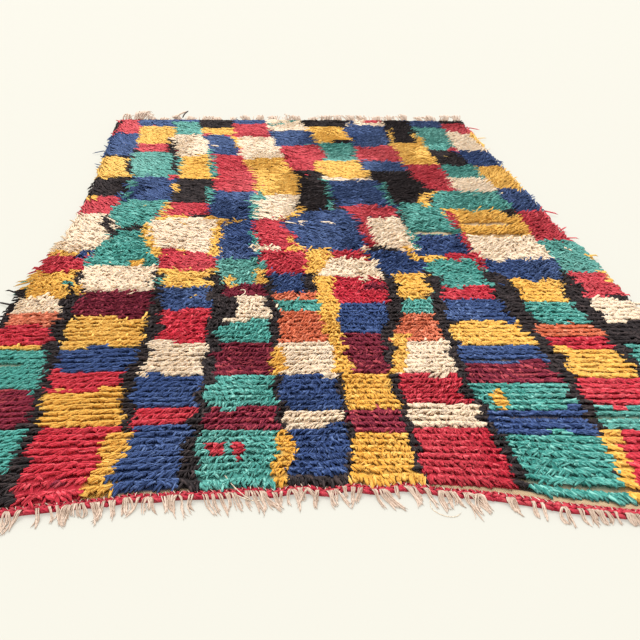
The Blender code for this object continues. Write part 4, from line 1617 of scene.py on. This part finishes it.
# Where a yarn comes down from the band, its height there with a hump, and its play above the floor
COMES_DOWN = (BAND_EDGE - 0.001, BAND_EDGE + 0.012)
ON_BAND, HUMP, HUMP_TURNS = 0.0088, 0.0030, 2.5
OFF_FLOOR, FLOOR_PLAY = 0.0003, 0.0040
YARN_TAPER = np.array([1.0] * (YARN_RINGS - 3) + [0.95, 0.7, 0.0])
YARN_GIRTHS = (0.85, 1.25)
YARN_OWN, YARN_BLEACHED = (0.60, 0.25), (0.0, 0.6)


def level_sides(path):
    """A level unit vector square to each ring's way, for lines that lie along the floor."""
    tangent = np.gradient(path, axis=1)
    across = np.stack([-tangent[..., 1], tangent[..., 0], 0 * tangent[..., 0]], -1)
    return across / np.linalg.norm(across, axis=2, keepdims=True)


def yarn_piece(name, path, radius, own, bleached, look):
    """One joined piece of closed yarns whose last ring is a point."""
    return strand_piece(name, look, (path, radius), YARN_SIDES, level_sides(path), own, YARN_SHADE, bleached)


def near_legs(chance):
    """The x of each leg's root, its side (from -1 to 1), its length and its slant, from the band's gaps."""
    gaps = gap_places()[1:-1]
    gaps = gaps[chance.uniform(0, 1, len(gaps)) < mix(1.0, SPARSE_GROUPS, fade(gaps, *SPARSE_X))]
    legs = 1 + (chance.uniform(0, 1, len(gaps)) < TWO_LEGS)
    legs = legs + (legs > 1) * (chance.uniform(0, 1, len(gaps)) < THREE_LEGS)
    gap = np.repeat(np.arange(len(gaps)), legs)
    number = np.arange(len(gap)) - np.repeat(np.cumsum(legs) - legs, legs)
    side = np.where(legs[gap] > 1, 2 * number / np.maximum(legs[gap] - 1, 1) - 1, 0.0)
    length = chance.uniform(*LEG_LENGTHS, len(gaps)) * mix(1.0, SPARSE_LENGTH, fade(gaps, *SPARSE_X))
    slant = chance.normal(0, SLANT_GROUP, len(gaps)) + SLANT_ALL + SLANT_RIGHT * fade(gaps, *SLANT_RIGHT_X)
    slant = slant[gap] + chance.normal(0, SLANT_LEG, len(gap))
    forked = chance.uniform(0, 1, len(gaps)) < FORKED_SHARE
    root = gaps[gap] + side * LEG_BESIDE * (1 - forked[gap])
    return root, side * forked[gap], length[gap] * chance.uniform(*LEG_CHANCE, len(gap)), slant


def yarns_aside(side, leg, t, chance):
    """What takes each yarn aside: its leg's arch, its bow, its place beside the leg and its splay."""
    legs, count = len(side), len(leg)
    arch = (side * chance.uniform(*ARCH_WIDTHS, legs))[leg, None]
    arch = arch * fade(t, *ARCH_OPENS) * (1 - ARCH_CLOSES * t)
    bow = chance.normal(0, BOW_LEG, legs)[leg, None] + chance.normal(0, BOW_YARN, (count, 1))
    bow = bow * np.sin(np.pi * t) * t
    beside = chance.uniform(-YARN_BESIDE, YARN_BESIDE, (count, 1)) * (1 - DRAWN_TOGETHER * t)
    beside = beside * fade(t, *BESIDE_OPENS)
    return arch, bow, beside, chance.standard_t(SPLAY_FREEDOM, (count, 1)) * SPLAY * t ** 3


def near_yarns():
    """Centre lines of the near fringe.

    A leg of a forked group leaves its gap sideways like half an arch. Then every leg runs along
    its slant, and its yarns draw together towards its tip. A yarn's height falls from the band's
    top to the floor just past the band's edge.
    """
    chance = np.random.default_rng(FRINGE_SEED)
    gap, side, length, slant = near_legs(chance)
    leg = np.repeat(np.arange(len(gap)), YARNS_A_LEG)
    count = len(leg)
    t = np.linspace(0, 1, YARN_RINGS)[None, :]
    x = sum(yarns_aside(side, leg, t, chance), gap[leg, None]) + (slant * length)[leg, None] * t
    x = np.clip(x, left_edge(0.0) + FRINGE_INSET, right_edge(0.0) - FRINGE_INSET)
    total = length[leg, None] * chance.uniform(*YARN_LENGTHS, (count, 1)) + BAND_EDGE - FRINGE_START
    below = FRINGE_START + total * t
    y = hem_point(gap[leg, None] + 0 * t, 0) - below
    crest = ON_BAND + HUMP * np.sin(np.pi * np.clip(HUMP_TURNS * t, 0, 1))
    lying = YARN_RADIUS + OFF_FLOOR + chance.uniform(0, FLOOR_PLAY, (count, 1)) * (1 - t ** 2)
    path = np.stack([x, y, mix(crest, lying, fade(below, *COMES_DOWN))], -1)
    radius = YARN_RADIUS * chance.uniform(*YARN_GIRTHS, (count, 1)) * YARN_TAPER
    own = np.clip(chance.normal(*YARN_OWN, count), 0, 1)
    return path, radius, own, chance.uniform(*YARN_BLEACHED, count)


near_fringe = yarn_piece("near_fringe_yarns", *near_yarns(), undyed)
print("near fringe:", len(near_fringe.data.polygons) // (YARN_SIDES * (YARN_RINGS - 1)), "yarns")

# %% Far fringe
FAR_YARNS = 680
FAR_LENGTHS = (0.020, 0.046)
FAR_RADIUS = 0.0020
FAR_INSET = 0.006
# Clumps of yarns: their pitch, their half width and how loosely the yarns keep to it, where in the pitch
# their middles lie, how full they are, and how far clumps and yarns slant
FAR_CLUMP, CLUMP_HALF, CLUMP_SPREAD = 0.058, 0.017, 0.6
CLUMP_MIDDLES, CLUMP_FULLNESS = (0.3, 0.7), (0.55, 1.1)
FAR_SLANT = 0.30
# How full and tall the far fringe is at which x, and the share of its length that even a thin place keeps
FAR_X = (-0.76, -0.63, -0.60, -0.46, -0.30, 0.76)
FAR_FULLNESS = (1.75, 1.65, 0.50, 0.70, 0.95, 0.90)
FAR_KEPT = 0.45
FAR_CURL = 0.0030
# How far inside the edge a yarn starts, its root's height and what is added there
FAR_INSIDE, FAR_FOOT, FAR_FOOT_ADDED = 0.004, 0.0026, 0.0015
# How high it rises, within what chance gives and up to the highest, and how much of an arch it makes
FAR_LIFT, FAR_LIFTS, FAR_HIGHEST, FAR_ARCH = 0.024, (0.4, 1.1), 0.030, 0.80
FAR_TAPER = np.array([1.0] * (YARN_RINGS - 2) + [0.8, 0.0])
FAR_GIRTHS = (0.8, 1.3)
FAR_OWN, FAR_BLEACHED = (0.85, 0.2), (0.7, 1.2)


def far_yarns():
    """Centre lines of the far stubs: out from the far edge, up over the pile's edge, then down a little.

    They stand in clumps: each root is moved to within the clump's half width of its middle.
    """
    chance = np.random.default_rng(FRINGE_SEED + 1)
    left, right = left_edge(FAR_END) + FAR_INSET, right_edge(FAR_END) - FAR_INSET
    root = np.sort(chance.uniform(left, right, FAR_YARNS))
    clump = ((root - left) / FAR_CLUMP).astype(int)
    clumps = clump.max() + 1
    middle = (left + FAR_CLUMP * (np.arange(clumps) + chance.uniform(*CLUMP_MIDDLES, clumps)))[clump]
    root = np.clip(middle + CLUMP_HALF * chance.normal(0, CLUMP_SPREAD, FAR_YARNS), left, right)
    full = np.interp(root, FAR_X, FAR_FULLNESS) * chance.uniform(*CLUMP_FULLNESS, clumps)[clump]
    length = chance.uniform(*FAR_LENGTHS, FAR_YARNS) * mix(FAR_KEPT, 1.0, full)
    slant = chance.normal(0, FAR_SLANT, clumps)[clump] + chance.normal(0, FAR_SLANT, FAR_YARNS)
    t = np.linspace(0, 1, YARN_RINGS)[None, :]
    curl = chance.normal(0, FAR_CURL, (FAR_YARNS, 1)) * t * t
    x = root[:, None] + (slant * length)[:, None] * t + curl
    y = FAR_END - FAR_INSIDE + (length[:, None] + FAR_INSIDE) * t
    lift = np.minimum(FAR_LIFT * full[:, None] * chance.uniform(*FAR_LIFTS, (FAR_YARNS, 1)), FAR_HIGHEST)
    z = FAR_FOOT + lift * np.sin(np.pi * np.clip(t * FAR_ARCH, 0, 1)) + FAR_FOOT_ADDED * (1 - t)
    radius = FAR_RADIUS * chance.uniform(*FAR_GIRTHS, (FAR_YARNS, 1)) * FAR_TAPER
    own = np.clip(chance.normal(*FAR_OWN, FAR_YARNS), 0, 1)
    return np.stack([x, y, z], -1), radius, own, chance.uniform(*FAR_BLEACHED, FAR_YARNS).clip(0, 1)


far_fringe = yarn_piece("far_fringe_yarns", *far_yarns(), undyed)
print("far fringe:", FAR_YARNS, "yarns")

# %% [markdown]
# ## Loose ends
#
# A few threads have worked free: a pale curl on the pile, two threads over the band, an arc
# of yarn on the floor below the hem and a dark tuft at the far edge. Each is a smooth line
# through a few places on the plan.

# %% Loose ends
LOOSE_RINGS = 14
LOOSE_TAPER = np.array([0.0] + [1.0] * (LOOSE_RINGS - 3) + [0.7, 0.0])
LOOSE_TONE = 0.8
# Each end's look, radius and places: x, y and height in centimetres
LOOSE_ENDS = (
    ("pale", 0.12,
     ((-21.0, 60.4, 2.2), (-20.0, 61.5, 2.6), (-18.9, 62.8, 2.8), (-19.0, 64.2, 2.9), (-20.3, 64.2, 2.9))),
    ("pale", 0.11, ((-21.6, 62.0, 2.2), (-20.6, 61.4, 2.6), (-19.6, 61.3, 2.5), (-19.0, 61.7, 2.2))),
    ("pale", 0.10, ((-21.8, 1.6, 1.9), (-20.8, 0.2, 1.5), (-19.2, -1.6, 1.0), (-17.0, -3.2, 0.5))),
    ("pale", 0.09, ((-21.4, -1.4, 1.0), (-19.8, -2.2, 1.0), (-17.6, -2.9, 0.5), (-15.4, -3.0, 0.4))),
    ("pale", 0.07,
     ((12.2, -3.0, 0.5), (12.1, -4.9, 0.15), (12.9, -6.1, 0.12), (14.3, -6.9, 0.12), (15.8, -6.9, 0.12),
      (16.9, -6.0, 0.12))),
    ("dark", 0.28, ((-47.4, 221.5, 1.8), (-46.8, 224.0, 2.6), (-46.1, 226.2, 2.9), (-45.2, 228.4, 3.1))),
    ("tan", 0.42, ((-50.6, 222.0, 1.6), (-49.2, 224.6, 2.3), (-47.8, 226.6, 2.6), (-46.2, 228.4, 2.8))),
    ("tan", 0.34, ((-51.8, 222.0, 1.5), (-50.6, 224.0, 2.0), (-49.2, 225.6, 2.3), (-47.8, 227.0, 2.5))),
)


def loose_piece(name, kind, look):
    """One joined piece of the loose ends of one kind."""
    ends = [(radius, np.array(places)) for label, radius, places in LOOSE_ENDS if label == kind]
    share = np.linspace(0, 1, LOOSE_RINGS)
    lines = [
        np.stack([curve_through(np.linspace(0, 1, len(places)), column, share) for column in places.T], -1)
        for _, places in ends
    ]
    radii = np.array([radius for radius, _ in ends])[:, None] * LOOSE_TAPER
    tone = np.full(len(ends), LOOSE_TONE)
    return yarn_piece(name, np.stack(lines) * CENTIMETRE, radii * CENTIMETRE, tone, tone, look)


loose_ends = [
    loose_piece("loose_threads", "pale", wool_looks["cream"]),
    loose_piece("loose_tuft", "dark", wool_looks["black"]),
    loose_piece("loose_yarns", "tan", undyed),
]
print("loose ends:", len(LOOSE_ENDS))

# %% [markdown]
# ## Hand over to the frame
#
# Every piece rides on the one body, and the plain solids of the frame that the pieces stand
# for are hidden.

# %% Ride on the body and hide the plain solids
slots = {
    "pile": [ground, *pile, *loose_ends],
    "twined_band": [band, band_warps],
    "fringe": [near_fringe, far_fringe],
}
for slot, pieces in slots.items():
    for piece in pieces:
        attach(piece, "root")
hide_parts("pile_rug")
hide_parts("twined_band")
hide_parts("near_fringe")
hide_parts("far_fringe")
print(sum(len(pieces) for pieces in slots.values()), "pieces ride on the one body")

# %% Triangles
triangles = {p.name: sum(len(f.vertices) - 2 for f in p.data.polygons) for ps in slots.values() for p in ps}
print("most triangles in a piece:", max(triangles.values()), "and in all:", sum(triangles.values()))
